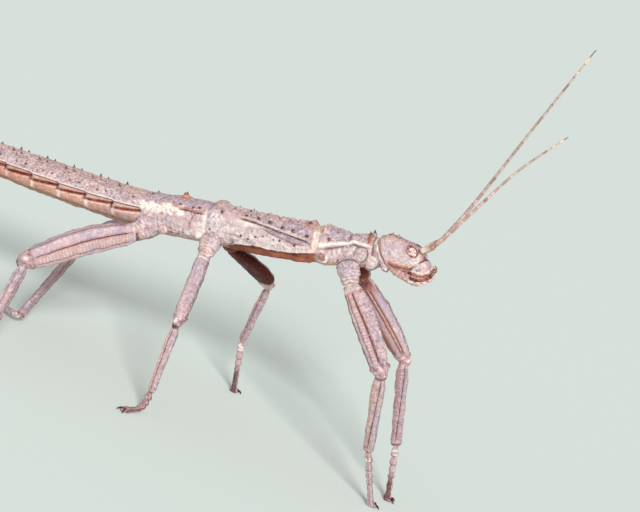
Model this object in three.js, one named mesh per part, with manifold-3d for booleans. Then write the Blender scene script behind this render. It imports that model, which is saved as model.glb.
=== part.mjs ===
// Giant spiny stick insect, an adult female, standing on a flat floor.
// Millimetres, +Z up, head towards +X, the insect's right side towards -Y, soles at z = 0.
// The trunk is a chain of lofted segments on one bent centreline, with parallel end faces.
// Each leg is coxa, femur, tibia and tarsus, and each is trimmed clear of the one before it.

import * as THREE from 'three';
import { mergeVertices } from 'three/addons/utils/BufferGeometryUtils.js';
import Module from 'manifold-3d';

const wasm = await Module();
wasm.setup();

// ---------------------------------------------------------------- driving dimensions

const SLIT = 0.12; // clear space between two neighbouring pieces
const TRUNK_SIDES = 18;
const LEG_SIDES = 10;
const FOOT_SIDES = 7;
const FEELER_SIDES = 6;

const NECK = [30.2, 42.1]; // x and height of the joint between head and prothorax
const HEAD_PITCH = 4; // degrees that the head points up
const EYE = { along: 5.5, out: 2.25, up: 2.4, half: [1.35, 0.65, 0.9], tilt: 27 };
const SHIFT = [7.96, -1.62]; // from the insect's own datum to the middle of its box

// length, pitch in degrees, then [fraction, half width, back above the line, belly below it]
const THORAX = [
  {
    name: 'prothorax', length: 11.6, pitch: 18.5,
    form: [[0, 1.9, 2.1, 2.1], [0.12, 2.3, 2.5, 2.5], [0.2, 2.9, 2.9, 3.1], [0.5, 3.0, 2.7, 3.2],
      [0.56, 3.1, 3.0, 3.2], [0.9, 3.3, 3.5, 3.4], [1, 3.0, 3.0, 3.2]],
  },
  {
    name: 'mesothorax', length: 20.1, pitch: 11.9,
    form: [[0, 3.2, 3.3, 3.3], [0.04, 3.4, 3.7, 3.5], [0.3, 3.5, 3.5, 3.7], [0.6, 3.7, 3.5, 4.0],
      [0.85, 4.1, 3.5, 3.8], [0.95, 4.2, 3.8, 3.7], [1, 4.0, 3.5, 3.6]],
  },
  {
    name: 'metathorax', length: 8.0, pitch: 15.4,
    form: [[0, 4.0, 3.4, 3.6], [0.15, 4.2, 3.5, 3.7], [0.6, 4.4, 3.5, 3.8], [0.9, 4.4, 3.6, 3.6],
      [1, 4.3, 3.4, 3.4]],
  },
];

// abdomen, segment by segment: length, pitch, half width and half height at its widest
const ABDOMEN = [
  [4.6, 14.6, 4.35, 3.45],
  [5.4, 9.0, 4.4, 3.3],
  [5.5, 8.0, 4.5, 3.2],
  [5.6, 6.5, 4.5, 3.15],
  [5.6, 6.0, 4.45, 3.1],
  [5.5, 5.0, 4.3, 3.0],
  [5.5, 5.0, 4.0, 2.85],
  [5.2, 6.0, 3.4, 2.6],
  [4.8, 7.0, 2.8, 2.3],
  [4.4, 9.0, 2.3, 1.9],
];
// ovipositor: a beak that goes on from the last segment, with keys as a loft takes them
const BEAK = { length: 8.0, pitch: 11, keys: [[0, 1.8, 1.5, -0.1], [0.3, 1.5, 1.25, -0.2],
  [0.7, 0.9, 0.85, -0.15], [1, 0.3, 0.3, 0.1]] };

// head: [mm from the neck, half width, top above the axis, underside below it]
const HEAD_FORM = [[-1.1, 1.7, 2.0, 0.9], [-0.5, 2.3, 3.0, 1.9], [0.5, 2.65, 3.65, 2.25],
  [2.2, 2.75, 3.7, 2.25], [4.75, 2.7, 3.5, 1.7], [6.2, 2.4, 3.0, 1.4], [7.6, 1.9, 1.95, 1.2],
  [8.7, 1.4, 0.8, 1.1], [9.1, 0.9, 0.3, 0.9]];
const MOUTH_FORM = [[2.2, 0.6, -2.1, 2.6], [3.8, 1.4, -1.6, 3.1], [6.0, 1.7, -1.2, 3.3],
  [8.0, 1.6, -0.6, 3.2], [9.2, 1.1, 0.2, 2.2], [9.8, 0.6, 0.3, 1.2]];

// legs, as points in space: hip, end of the trochanter, knee, ankle and foot, with how far the
// femur bows out of the straight line
const LEGS = {
  front_right: {
    hip: [25.0, -1.9, 39.3], base: [28.2, -3.6, 35.3], knee: [40.3, -10.5, 25.8],
    ankle: [42.6, -4.0, 9.8], foot: [46.4, -1.2, -0.2], bow: 0.35,
  },
  front_left: {
    hip: [25.0, 1.9, 39.3], base: [28.2, 3.6, 35.3], knee: [39.3, 10.0, 23.9],
    ankle: [45.2, 5.0, 10.0], foot: [47.6, 5.4, -0.2], bow: 0.35,
  },
  middle_right: {
    hip: [1.6, -2.6, 32.6], base: [1.9, -4.6, 29.0], knee: [4.3, -12.5, 18.2],
    ankle: [4.1, -11.5, 3.9], foot: [2.1, -15.3, 0.3], bend: [3.7, -12.2, 1.0],
    bow: 0.1,
  },
  middle_left: {
    hip: [2.2, 2.6, 32.6], base: [3.4, 4.6, 29.8], knee: [9.6, 15.0, 23.4],
    ankle: [7.8, 18.5, 10.4], foot: [9.5, 20.6, -0.2], bow: 0.8,
  },
  hind_right: {
    hip: [-9.6, -2.4, 30.2], base: [-11.6, -5.0, 27.2], knee: [-24.1, -17.0, 17.4],
    ankle: [-22.9, -27.0, 1.7], foot: [-30.4, -32.0, 0.3], bow: 0.8,
  },
  hind_left: {
    hip: [-9.6, 2.4, 30.2], base: [-11.6, 5.0, 27.2], knee: [-26.8, 12.7, 15.8],
    ankle: [-28.4, -1.0, 1.7], foot: [-36.5, 3.0, 0.3], bow: 0.8,
  },
};
// half breadth and half thickness of each leg piece, and the way that its broad side lies
const GIRTH = {
  front: { coxa: [2.0, 1.7], femur: [2.05, 1.35], tibia: [1.15, 0.85], broad: [1, 0, 0] },
  middle: { coxa: [1.9, 1.7], femur: [1.55, 1.35], tibia: [0.95, 0.8], broad: [1, 0, 0] },
  hind: { coxa: [2.2, 1.9], femur: [2.5, 1.8], tibia: [1.2, 0.95], broad: [0, 0, 1] },
};
// foot: half breadth and half thickness at the ankle, five joints that are narrow at their base
// (waist) and flare to their tip (flare, as a fraction of each), and how much each one loses
const TARSUS = { girth: [0.72, 0.55], joints: 5, waist: 0.75, flare: 0.8, taper: 0.06, pad: [0.6, 0.5] };
const CLAW = { length: 1.5, radius: 0.45, spread: 38, height: 0.3 };

// feelers: points along each, and its thickness from base to tip
const FEELER_RIGHT = [[36.9, -1.5, 45.6], [38.95, -1.8, 48.0], [42.2, -2.5, 57.0],
  [46.7, -4.8, 72.7], [51.5, -7.0, 89.2]];
const FEELER_LEFT = [[36.9, 1.5, 45.6], [38.8, 4.0, 48.6], [40.9, 12.0, 54.4],
  [43.6, 21.5, 61.6], [49.0, 36.5, 71.4]];
const FEELER_RADIUS = { base: 0.62, start: 0.5, tip: 0.3, baseLength: 0.1 };
const FEELER_STEPS = 14;

// spines: a cone sunk a little into the skin, wider the taller it is
const SPINE = { sunk: 0.25, depth: 0.93, radius: 0.28, flare: 0.28 };
// [part, fraction along it, degrees from the crest, height]
const SPINES = [
  ['prothorax', 0.16, 38, 1.1], ['prothorax', 0.86, 26, 0.8],
  ['mesothorax', 0.06, 34, 1.1], ['mesothorax', 0.95, 24, 1.2],
  ['mesothorax', 0.18, 58, 0.6], ['mesothorax', 0.32, 58, 0.6], ['mesothorax', 0.45, 58, 0.6],
  ['mesothorax', 0.58, 58, 0.6], ['mesothorax', 0.7, 58, 0.6], ['mesothorax', 0.5, 18, 0.6],
  ['metathorax', 0.6, 16, 1.7], ['metathorax', 0.35, 56, 0.7], ['metathorax', 0.75, 56, 0.7],
  ['abdomen_1', 0.55, 16, 0.8], ['abdomen_2', 0.72, 16, 0.8], ['abdomen_3', 0.72, 16, 0.8],
  ['abdomen_4', 0.72, 16, 0.8], ['abdomen_5', 0.72, 16, 0.7], ['abdomen_6', 0.72, 16, 0.7],
  ['abdomen_7', 0.72, 16, 0.6], ['abdomen_2', 0.8, 58, 0.6], ['abdomen_3', 0.8, 58, 0.6],
  ['abdomen_4', 0.8, 58, 0.6], ['abdomen_5', 0.8, 58, 0.6], ['abdomen_6', 0.8, 58, 0.6],
];

// ---------------------------------------------------------------- making and joining solids

const radians = THREE.MathUtils.degToRad;
const vector = (values) => new THREE.Vector3(...values);

// A closed loft along a path. Each key is [t, half breadth, half thickness, lift]. The section
// is a superellipse: corner 1 gives an ellipse, less than 1 a squarer one.
function loft(path, keys, { sides, broad, corner = 1, grow = 0 }) {
  const steps = keys.length - 1;
  const shape = new THREE.CylinderGeometry(1, 1, 1, sides, steps);
  const points = shape.attributes.position;
  const soften = (value) => Math.sign(value) * Math.abs(value) ** corner;
  for (let i = 0; i < points.count; i += 1) {
    const ring = Math.round((0.5 - points.getY(i)) * steps);
    const [t, halfBroad, halfThin, lift = 0] = keys[ring];
    const along = path.getTangent(t);
    const side = broad.clone().addScaledVector(along, -broad.dot(along)).normalize();
    const thin = side.clone().cross(along);
    const end = (ring === steps ? grow : 0) - (ring === 0 ? grow : 0);
    const across = soften(points.getX(i)) * (halfBroad + grow);
    const height = soften(-points.getZ(i)) * (halfThin + grow) + lift;
    const place = path.getPoint(t).addScaledVector(side, across);
    place.addScaledVector(thin, height).addScaledVector(along, end);
    points.setXYZ(i, place.x, place.y, place.z);
  }
  return solid(shape);
}

// A three.js geometry, with its shared vertices merged, as a solid to join and cut.
function solid(geometry) {
  geometry.deleteAttribute('normal');
  geometry.deleteAttribute('uv');
  const merged = mergeVertices(geometry, 1e-5);
  return new wasm.Manifold(new wasm.Mesh({
    numProp: 3,
    vertProperties: new Float32Array(merged.attributes.position.array),
    triVerts: new Uint32Array(merged.index.array),
  }));
}

function cone(foot, direction, radius, height) {
  const shape = new THREE.ConeGeometry(radius, height, 5);
  shape.translate(0, height / 2, 0);
  const turn = new THREE.Quaternion().setFromUnitVectors(new THREE.Vector3(0, 1, 0), direction);
  shape.applyQuaternion(turn);
  shape.translate(foot.x, foot.y, foot.z);
  return solid(shape);
}

function block(width, depth, height, centre) {
  return solid(new THREE.BoxGeometry(width, depth, height).translate(...centre));
}

const BELOW_FLOOR = block(200, 200, 10, [0, 0, -5]);
const insect = new THREE.Group();
insect.position.set(SHIFT[0], SHIFT[1], 0);

function addPiece(name, body, colour, roughness = 0.6) {
  const mesh = body.getMesh();
  const geometry = new THREE.BufferGeometry();
  geometry.setAttribute('position', new THREE.BufferAttribute(mesh.vertProperties, 3));
  geometry.setIndex(new THREE.BufferAttribute(mesh.triVerts, 1));
  geometry.computeVertexNormals();
  const material = new THREE.MeshStandardMaterial({ color: colour, roughness, metalness: 0 });
  const piece = new THREE.Mesh(geometry, material);
  piece.name = name;
  insect.add(piece);
}

// ---------------------------------------------------------------- trunk

const SKIN = 0xb59a9c;
const SKIN_BELLY = 0xb08478;
const LEG = 0xb0959a;
const FOOT = 0x9a807c;
const HORN = 0x7a4a3c;
const EYE_COLOUR = 0xd8b0a8;

// one segment of the abdomen, narrower at both ends, and as wide as the next one at its rear
function abdomenForm(index, width, height) {
  const [, , nextWidth, nextHeight] = ABDOMEN[Math.min(index + 1, ABDOMEN.length - 1)];
  const waist = 0.93;
  const shoulder = 0.98;
  const [midWidth, midHeight] = [(width + nextWidth) / 2, (height + nextHeight) / 2];
  return [
    [0, width * waist, height * waist, height * waist],
    [0.15, width * shoulder, height * shoulder, height * shoulder],
    [0.8, midWidth, midHeight, midHeight],
    [1, nextWidth * waist, nextHeight * shoulder, nextHeight * waist],
  ];
}

const parts = THORAX.concat(ABDOMEN.map(([length, pitch, halfWidth, halfHeight], index) => ({
  name: `abdomen_${index + 1}`, length, pitch, form: abdomenForm(index, halfWidth, halfHeight),
})));

// the joints of the trunk, walked backwards from the neck
const joints = [new THREE.Vector3(NECK[0], 0, NECK[1])];
for (const { length, pitch } of parts) {
  const step = new THREE.Vector3(-Math.cos(radians(pitch)), 0, -Math.sin(radians(pitch)));
  joints.push(joints.at(-1).clone().addScaledVector(step, length));
}
const trunkLine = new THREE.CatmullRomCurve3(joints);
const ACROSS = new THREE.Vector3(0, 1, 0);

function trunkKeys({ length, form }, index) {
  return form.map(([fraction, halfWidth, back, belly]) => {
    const inset = THREE.MathUtils.clamp(fraction, SLIT / 2 / length, 1 - SLIT / 2 / length);
    return [(index + inset) / parts.length, halfWidth, (back + belly) / 2, (back - belly) / 2];
  });
}

// a spine on the back, at so many degrees to one side of the crest
function trunkSpine(keys, fraction, degrees, height, side) {
  const t = keys[0][0] + fraction * (keys.at(-1)[0] - keys[0][0]);
  const after = Math.max(1, keys.findIndex(([place]) => place >= t));
  const [before, next] = [keys[after - 1], keys[after]];
  const mix = (t - before[0]) / (next[0] - before[0]);
  const [, halfWidth, halfHeight, lift] = before.map((value, k) => value + mix * (next[k] - value));
  const along = trunkLine.getTangent(t);
  const up = ACROSS.clone().cross(along);
  const angle = radians(degrees);
  const foot = trunkLine.getPoint(t);
  foot.addScaledVector(ACROSS, side * SPINE.depth * halfWidth * Math.sin(angle));
  foot.addScaledVector(up, SPINE.depth * halfHeight * Math.cos(angle) + lift);
  const outward = up.multiplyScalar(Math.cos(angle)).addScaledVector(ACROSS, side * Math.sin(angle));
  return cone(foot, outward.normalize(), SPINE.radius + SPINE.flare * height, height + SPINE.sunk);
}

const trunkGrown = {};
parts.forEach((part, index) => {
  const keys = trunkKeys(part, index);
  const options = { sides: TRUNK_SIDES, broad: ACROSS, corner: 0.86 };
  let body = loft(trunkLine, keys, options);
  for (const [name, fraction, degrees, height] of SPINES) {
    if (name === part.name) {
      body = body.add(trunkSpine(keys, fraction, degrees, height, 1));
      body = body.add(trunkSpine(keys, fraction, degrees, height, -1));
    }
  }
  trunkGrown[part.name] = loft(trunkLine, keys, { ...options, grow: SLIT });
  part.body = body;
});

const tail = joints.at(-1);
const beakStep = new THREE.Vector3(-Math.cos(radians(BEAK.pitch)), 0, -Math.sin(radians(BEAK.pitch)));
const beakLine = new THREE.LineCurve3(
  tail.clone().addScaledVector(beakStep, SLIT),
  tail.clone().addScaledVector(beakStep, BEAK.length),
);
const beak = loft(beakLine, BEAK.keys, { sides: LEG_SIDES, broad: ACROSS });

// ---------------------------------------------------------------- head

const headStep = new THREE.Vector3(Math.cos(radians(HEAD_PITCH)), 0, Math.sin(radians(HEAD_PITCH)));
const headBack = new THREE.Vector3(NECK[0], 0, NECK[1]);
const toWorld = new THREE.Matrix4().makeRotationY(-radians(HEAD_PITCH)).setPosition(headBack);

function headLoft(form, options) {
  const [first, last] = [form[0][0], form.at(-1)[0]];
  const line = new THREE.LineCurve3(
    headBack.clone().addScaledVector(headStep, last),
    headBack.clone().addScaledVector(headStep, first),
  );
  const keys = form.map(([place, halfWidth, top, under]) => [
    (last - place) / (last - first), halfWidth, (top + under) / 2, (top - under) / 2,
  ]);
  return loft(line, keys.reverse(), { sides: TRUNK_SIDES, broad: ACROSS, ...options });
}

function eyeSolid(side, grow) {
  const ball = new THREE.SphereGeometry(1, 12, 8);
  ball.scale(...EYE.half.map((half) => half + grow));
  ball.rotateY(radians(EYE.tilt));
  ball.translate(EYE.along, side * EYE.out, EYE.up);
  return solid(ball.applyMatrix4(toWorld));
}

const HEAD_SECTION = { corner: 0.92 };
let head = headLoft(HEAD_FORM, HEAD_SECTION).subtract(trunkGrown.prothorax);
const headGrown = headLoft(HEAD_FORM, { ...HEAD_SECTION, grow: SLIT });
for (const side of [-1, 1]) {
  head = head.subtract(eyeSolid(side, SLIT));
}
const mouth = headLoft(MOUTH_FORM, { sides: LEG_SIDES }).subtract(headGrown);

function feeler(points) {
  const line = new THREE.CatmullRomCurve3(points.map(vector));
  const { base, start, tip, baseLength } = FEELER_RADIUS;
  const keys = Array.from({ length: FEELER_STEPS + 1 }, (unused, step) => {
    const t = step / FEELER_STEPS;
    const radius = t < baseLength ? base : THREE.MathUtils.lerp(start, tip, t);
    return [t, radius, radius];
  });
  return loft(line, keys, { sides: FEELER_SIDES, broad: ACROSS });
}

// ---------------------------------------------------------------- legs

const FEMUR_FORM = [[0, 0.68], [0.08, 0.8], [0.3, 1], [0.6, 0.98], [0.84, 0.86], [0.93, 0.95],
  [1, 0.62]];
const TIBIA_FORM = [[0, 0.7], [0.07, 1.05], [0.2, 1], [0.6, 0.85], [0.9, 0.9], [1, 0.75]];
const COXA_FORM = [[0, 0.9], [0.3, 1.05], [0.5, 0.98], [0.58, 0.82], [0.68, 0.86], [0.88, 0.8],
  [1, 0.62]];

function limb(from, to, form, [halfBroad, halfThin], broad, { grow = 0, bow = 0 } = {}) {
  const middle = from.clone().lerp(to, 0.5).addScaledVector(broad, 2 * bow);
  const line = new THREE.QuadraticBezierCurve3(from, middle, to);
  const keys = form.map(([t, size]) => [t, size * halfBroad, size * halfThin]);
  const options = { sides: LEG_SIDES, broad, corner: 0.85, grow };
  return loft(line, keys, options);
}

// the joints of one foot, then the pad between its two claws
function tarsus(points, broad) {
  const line = new THREE.CatmullRomCurve3(points);
  const keys = [];
  for (let joint = 0; joint < TARSUS.joints; joint += 1) {
    const [breadth, thickness] = TARSUS.girth.map((half) => half * (1 - TARSUS.taper * joint));
    keys.push([joint / TARSUS.joints, TARSUS.waist * breadth, TARSUS.waist * thickness]);
    keys.push([(joint + TARSUS.flare) / TARSUS.joints, breadth, thickness]);
  }
  keys.push([1, ...TARSUS.pad]);
  let body = loft(line, keys, { sides: FOOT_SIDES, broad });
  const heel = points.at(-1);
  const ahead = heel.clone().sub(points.at(-2)).setZ(0).normalize();
  const root = heel.clone().setZ(CLAW.height);
  for (const side of [-1, 1]) {
    const claw = ahead.clone().applyAxisAngle(new THREE.Vector3(0, 0, 1), side * radians(CLAW.spread));
    body = body.add(cone(root, claw, CLAW.radius, CLAW.length));
  }
  return body;
}

const thoraxParts = parts.slice(0, 5).map(({ name }) => trunkGrown[name]);
const legs = Object.entries(LEGS).map(([name, leg]) => {
  const girth = GIRTH[name.split('_')[0]];
  const broad = vector(girth.broad);
  const [hip, base, knee, ankle, foot] = ['hip', 'base', 'knee', 'ankle', 'foot']
    .map((joint) => vector(leg[joint]));
  const { bow } = leg;
  const beside = (from, to) => from.clone().add(to.clone().sub(from).setLength(SLIT));
  const parted = (body, cutters) => cutters.reduce((rest, cutter) => rest.subtract(cutter), body);

  const coxa = parted(limb(hip, base, COXA_FORM, girth.coxa, broad), thoraxParts);
  const coxaGrown = limb(hip, base, COXA_FORM, girth.coxa, broad, { grow: SLIT });
  const femurCut = [coxaGrown, ...thoraxParts];
  const femur = parted(limb(base, knee, FEMUR_FORM, girth.femur, broad, { bow }), femurCut);
  const femurGrown = limb(base, knee, FEMUR_FORM, girth.femur, broad, { bow, grow: SLIT });
  const tibia = limb(beside(knee, ankle), ankle, TIBIA_FORM, girth.tibia, broad);
  const tibiaGrown = limb(knee, ankle, TIBIA_FORM, girth.tibia, broad, { grow: SLIT });
  const path = [beside(ankle, foot), ...(leg.bend ? [vector(leg.bend)] : []), foot];
  const toes = tarsus(path, broad).subtract(tibiaGrown).subtract(BELOW_FLOOR);
  return { name, coxa, femur, tibia: tibia.subtract(femurGrown), tarsus: toes };
});

// ---------------------------------------------------------------- the whole insect

addPiece('head', head, SKIN);
addPiece('mouthparts', mouth, SKIN_BELLY);
for (const [side, word] of [[-1, 'right'], [1, 'left']]) {
  addPiece(`eye_${word}`, eyeSolid(side, 0), EYE_COLOUR, 0.25);
  const points = side < 0 ? FEELER_RIGHT : FEELER_LEFT;
  addPiece(`antenna_${word}`, feeler(points).subtract(headGrown), HORN);
}
for (const part of parts) {
  addPiece(part.name, part.body, part.name === 'abdomen_1' ? SKIN_BELLY : SKIN);
}
addPiece('ovipositor', beak, HORN);
for (const leg of legs) {
  addPiece(`coxa_${leg.name}`, leg.coxa, LEG);
  addPiece(`femur_${leg.name}`, leg.femur, LEG);
  addPiece(`tibia_${leg.name}`, leg.tibia, LEG);
  addPiece(`tarsus_${leg.name}`, leg.tarsus, FOOT);
}

export default insect;
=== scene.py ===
import math

import bmesh
import bpy
import numpy as np
from mathutils import Matrix, Vector


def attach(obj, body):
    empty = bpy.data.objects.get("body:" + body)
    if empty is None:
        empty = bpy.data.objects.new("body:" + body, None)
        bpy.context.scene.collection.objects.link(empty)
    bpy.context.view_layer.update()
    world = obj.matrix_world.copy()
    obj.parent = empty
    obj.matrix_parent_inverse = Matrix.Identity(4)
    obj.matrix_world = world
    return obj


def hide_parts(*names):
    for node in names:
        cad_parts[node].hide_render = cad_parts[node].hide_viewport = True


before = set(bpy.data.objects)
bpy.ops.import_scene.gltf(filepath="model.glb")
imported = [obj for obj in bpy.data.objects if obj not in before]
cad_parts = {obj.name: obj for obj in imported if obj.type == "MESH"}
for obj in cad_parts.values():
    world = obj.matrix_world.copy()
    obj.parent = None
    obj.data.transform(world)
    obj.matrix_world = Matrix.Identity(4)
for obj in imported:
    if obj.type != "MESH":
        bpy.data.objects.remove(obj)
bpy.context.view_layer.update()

# ---------------------------------------------------------------------------------------- trunk
# Neck, thorax and abdomen of the insect: horny rings of cuticle on one bent line, joined by soft
# skin. Modelled as one closed shell, with the ridges, pleats and pits of the real plates raised
# or sunk in it, and its markings kept on its points for the skin's material to read.

MM = 0.001
STAND = np.array([7.96, -1.62, 0.0])  # mm from the insect's own datum to the frame's origin
LEVEL = np.array([0.0, 1.0, 0.0])  # to the insect's left
NECK = (30.2, 42.1)  # x and height of the joint between head and prothorax
MARKS = ("cream", "rust", "umber", "blush", "grain", "whole")
TRUNK_CORNER = 0.86  # below 1, a section is squarer than an oval
TRUNK_STEP = 0.255  # mm between rings of points
WALK_STRIDES = 3000
MM_PER_DEGREE = 0.062  # round the trunk

# length and pitch of each ring of the trunk, from the neck to the tail
RINGS = [(11.6, 18.5), (20.1, 11.9), (8.0, 15.4), (4.6, 14.6), (5.4, 9.0), (5.5, 8.0), (5.6, 6.5),
         (5.6, 6.0), (5.5, 5.0), (5.5, 5.0), (5.2, 6.0), (4.8, 7.0), (4.4, 9.0)]
JOINTS = np.concatenate([[0.0], np.cumsum([length for length, _ in RINGS])])
META, MEDIAN = JOINTS[2:4]
TAIL = JOINTS[-1]

# mm from the neck, half width, back above the line, belly below it
THORAX_FORM = [
    (-1.0, 1.5, 1.7, 1.5), (0.0, 1.9, 2.1, 2.1), (0.9, 2.1, 2.3, 2.3), (1.7, 2.7, 2.95, 2.8),
    (2.6, 2.85, 2.85, 3.0), (4.9, 2.95, 2.75, 3.2), (5.4, 2.9, 2.55, 3.2), (6.2, 3.05, 2.95, 3.2),
    (10.0, 3.25, 3.5, 3.4), (10.9, 3.2, 3.35, 3.3), (11.5, 3.05, 2.95, 3.2), (12.1, 3.2, 3.2, 3.3),
    (12.7, 3.4, 3.7, 3.5), (17.6, 3.45, 3.5, 3.7), (23.6, 3.65, 3.45, 4.0), (28.4, 4.05, 3.5, 3.8),
    (30.6, 4.15, 3.85, 3.7), (31.7, 4.0, 3.45, 3.6), (33.0, 4.2, 3.5, 3.7), (36.5, 4.35, 3.55, 3.8),
    (39.0, 4.4, 3.6, 3.6), (40.8, 4.3, 3.45, 3.45),
]
# half width and half height, a third of the way along each ring of the abdomen
ABDOMEN_FORM = [(4.35, 3.45), (4.4, 3.3), (4.5, 3.2), (4.5, 3.15), (4.45, 3.1), (4.3, 3.0),
                (4.0, 2.85), (3.4, 2.6), (2.8, 2.3), (2.3, 1.9)]
# the same four measures as the thorax's, at the tail
TAIL_FORM = [(TAIL, 1.95, 1.6, 1.6), (TAIL + 0.5, 1.2, 1.0, 1.0)]
# angles from the crest round one side, as start, end and step: closest where the pleats are
AROUND_HALF = ((0, 46, 5.1), (46, 72, 2.9), (72, 102, 1.8), (102, 130, 2.9), (130, 179, 7.0))


def smooth(low, high, value):
    share = np.clip((value - low) / (high - low), 0.0, 1.0)
    return share * share * (3.0 - 2.0 * share)


def hump(distance, half):
    return np.exp(-((distance / half) ** 2))


def within(value, low, high, edge):
    return smooth(low - edge, low + edge, value) * (1.0 - smooth(high - edge, high + edge, value))


def keyed(value, *keys):
    places, sizes = zip(*keys)
    return np.interp(value, places, sizes)


def rounded(value, corner):
    return np.sign(value) * np.abs(value) ** corner


def mottle(place, grain, seed, waves=36):
    """A smooth random field from about -1 to 1, with blotches about `grain` mm across."""
    dice = np.random.default_rng(seed)
    heading = dice.normal(size=(waves, 3))
    heading /= np.linalg.norm(heading, axis=1, keepdims=True)
    pace = math.pi / grain * dice.uniform(0.6, 1.4, (waves, 1))
    phase = dice.uniform(0.0, math.tau, waves)
    return np.cos(place @ (heading * pace).T + phase).sum(axis=-1) / math.sqrt(waves / 2)


class Paint(dict):
    """The markings at each point of a shell, from 0 to 1. Each call adds to them, and the strongest stays."""

    def __init__(self, shape):
        super().__init__({name: np.zeros(shape) for name in MARKS})
        self["whole"] += 1.0

    def __call__(self, **amounts):
        for name, amount in amounts.items():
            self[name] = np.maximum(self[name], np.clip(amount, 0.0, 1.0))


def placed(name, data):
    made = bpy.data.objects.new(name, data)
    bpy.context.scene.collection.objects.link(made)
    return made


def set_values(mesh, name, values, kind="FLOAT", field="value"):
    layer = mesh.attributes.new(name, kind, "POINT")
    layer.data.foreach_set(field, np.asarray(values, np.float32).ravel())


def closed_shell(name, rings, marks):
    """A shell over rings of points (ring, point, xyz) in mm, shut by a point at each end."""
    count, around = rings.shape[:2]
    corners = [rings.reshape(-1, 3), rings[:1].mean(axis=1), rings[-1:].mean(axis=1)]
    points = (np.concatenate(corners) + STAND) * MM
    index = np.arange(count * around).reshape(count, around)
    ahead = np.roll(index, -1, axis=1)
    walls = np.stack([index[:-1], ahead[:-1], ahead[1:], index[1:]], axis=-1).reshape(-1, 4)
    nose, tail = count * around, count * around + 1
    faces = walls.tolist()
    faces += [(nose, b, a) for a, b in zip(index[0].tolist(), ahead[0].tolist())]
    faces += [(tail, a, b) for a, b in zip(index[-1].tolist(), ahead[-1].tolist())]
    a, b, c, d = (points[walls[:, k]] for k in range(4))
    outward = np.einsum("ij,ij->i", a - points[nose], np.cross(c - a, d - b)).sum()
    if outward < 0:
        faces = [face[::-1] for face in faces]
    mesh = bpy.data.meshes.new(name)
    mesh.from_pydata(points.tolist(), [], faces)
    for mark in MARKS:
        amount = marks.get(mark, np.zeros((count, around)))
        set_values(mesh, mark, np.concatenate([amount.ravel(), [amount[0].mean(), amount[-1].mean()]]))
    return placed(name, mesh)


def paired_grid(stations, around):
    """At each point of a body's rings: mm along it, degrees from its crest, and its side."""
    along, turn = np.meshgrid(stations, around, indexing="ij")
    return along, np.where(turn > 180, 360 - turn, turn), np.where(turn > 180, 1.0, -1.0)


# the line of the trunk, walked in small strides from the neck to the tail
walk = np.linspace(-1.5, TAIL + 1.0, WALK_STRIDES)
slope = np.radians(np.interp(walk, (JOINTS[1:] + JOINTS[:-1]) / 2, [pitch for _, pitch in RINGS]))
walk_x = -np.cumsum(np.cos(slope)) * (walk[1] - walk[0])
walk_z = -np.cumsum(np.sin(slope)) * (walk[1] - walk[0])
walk_x += NECK[0] - np.interp(0.0, walk, walk_x)
walk_z += NECK[1] - np.interp(0.0, walk, walk_z)
trunk_form = list(THORAX_FORM)
for start, (length, _), (half_width, half_height) in zip(JOINTS[3:], RINGS[3:], ABDOMEN_FORM):
    trunk_form.append((start + 0.35 * length, half_width, half_height, half_height))
trunk_form = np.array(trunk_form + TAIL_FORM)


def trunk_point(along, degrees, side, lift=0.0):
    """A point of the trunk's skin, degrees from the crest, and the way out of it there."""
    along = np.asarray(along, float)
    tilt, x, z = (np.interp(along, walk, values) for values in (slope, walk_x, walk_z))
    half_width, back, belly = (np.interp(along, trunk_form[:, 0], trunk_form[:, k]) for k in (1, 2, 3))
    centre = np.stack([x, 0 * along, z], axis=-1)
    upward = np.stack([-np.sin(tilt), 0 * along, np.cos(tilt)], axis=-1)
    angle = np.radians(degrees)
    rise, reach = rounded(np.cos(angle), TRUNK_CORNER), rounded(np.sin(angle), TRUNK_CORNER)
    height = (back + belly) / 2 * rise + (back - belly) / 2 + lift * np.cos(angle)
    spread = side * (half_width * reach + lift * np.sin(angle))
    place = centre + upward * height[..., None] + LEVEL * spread[..., None]
    outward = upward * np.cos(angle)[..., None] + LEVEL * (side * np.sin(angle))[..., None]
    return place, outward


# s is mm from the neck, t degrees from the crest, lift how far in mm the skin is raised
around_half = np.concatenate([np.arange(*steps) for steps in AROUND_HALF])
s, t, side = paired_grid(np.arange(-1.0, TAIL + 0.4, TRUNK_STEP),
                         np.concatenate([around_half, 360 - around_half[:0:-1]]))
bare, _ = trunk_point(s, t, side)
rag, fleck = mottle(bare, 0.9, 5), mottle(bare, 0.42, 6)
lift = 0.05 * mottle(bare, 1.6, 1) + 0.034 * mottle(bare, 0.55, 2)
paint = Paint(s.shape)


def ridge(at, half):
    """1 on the lengthwise line at so many degrees from the crest, fading `half` mm beside it."""
    return hump((t - at) * MM_PER_DEGREE, half)


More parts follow.
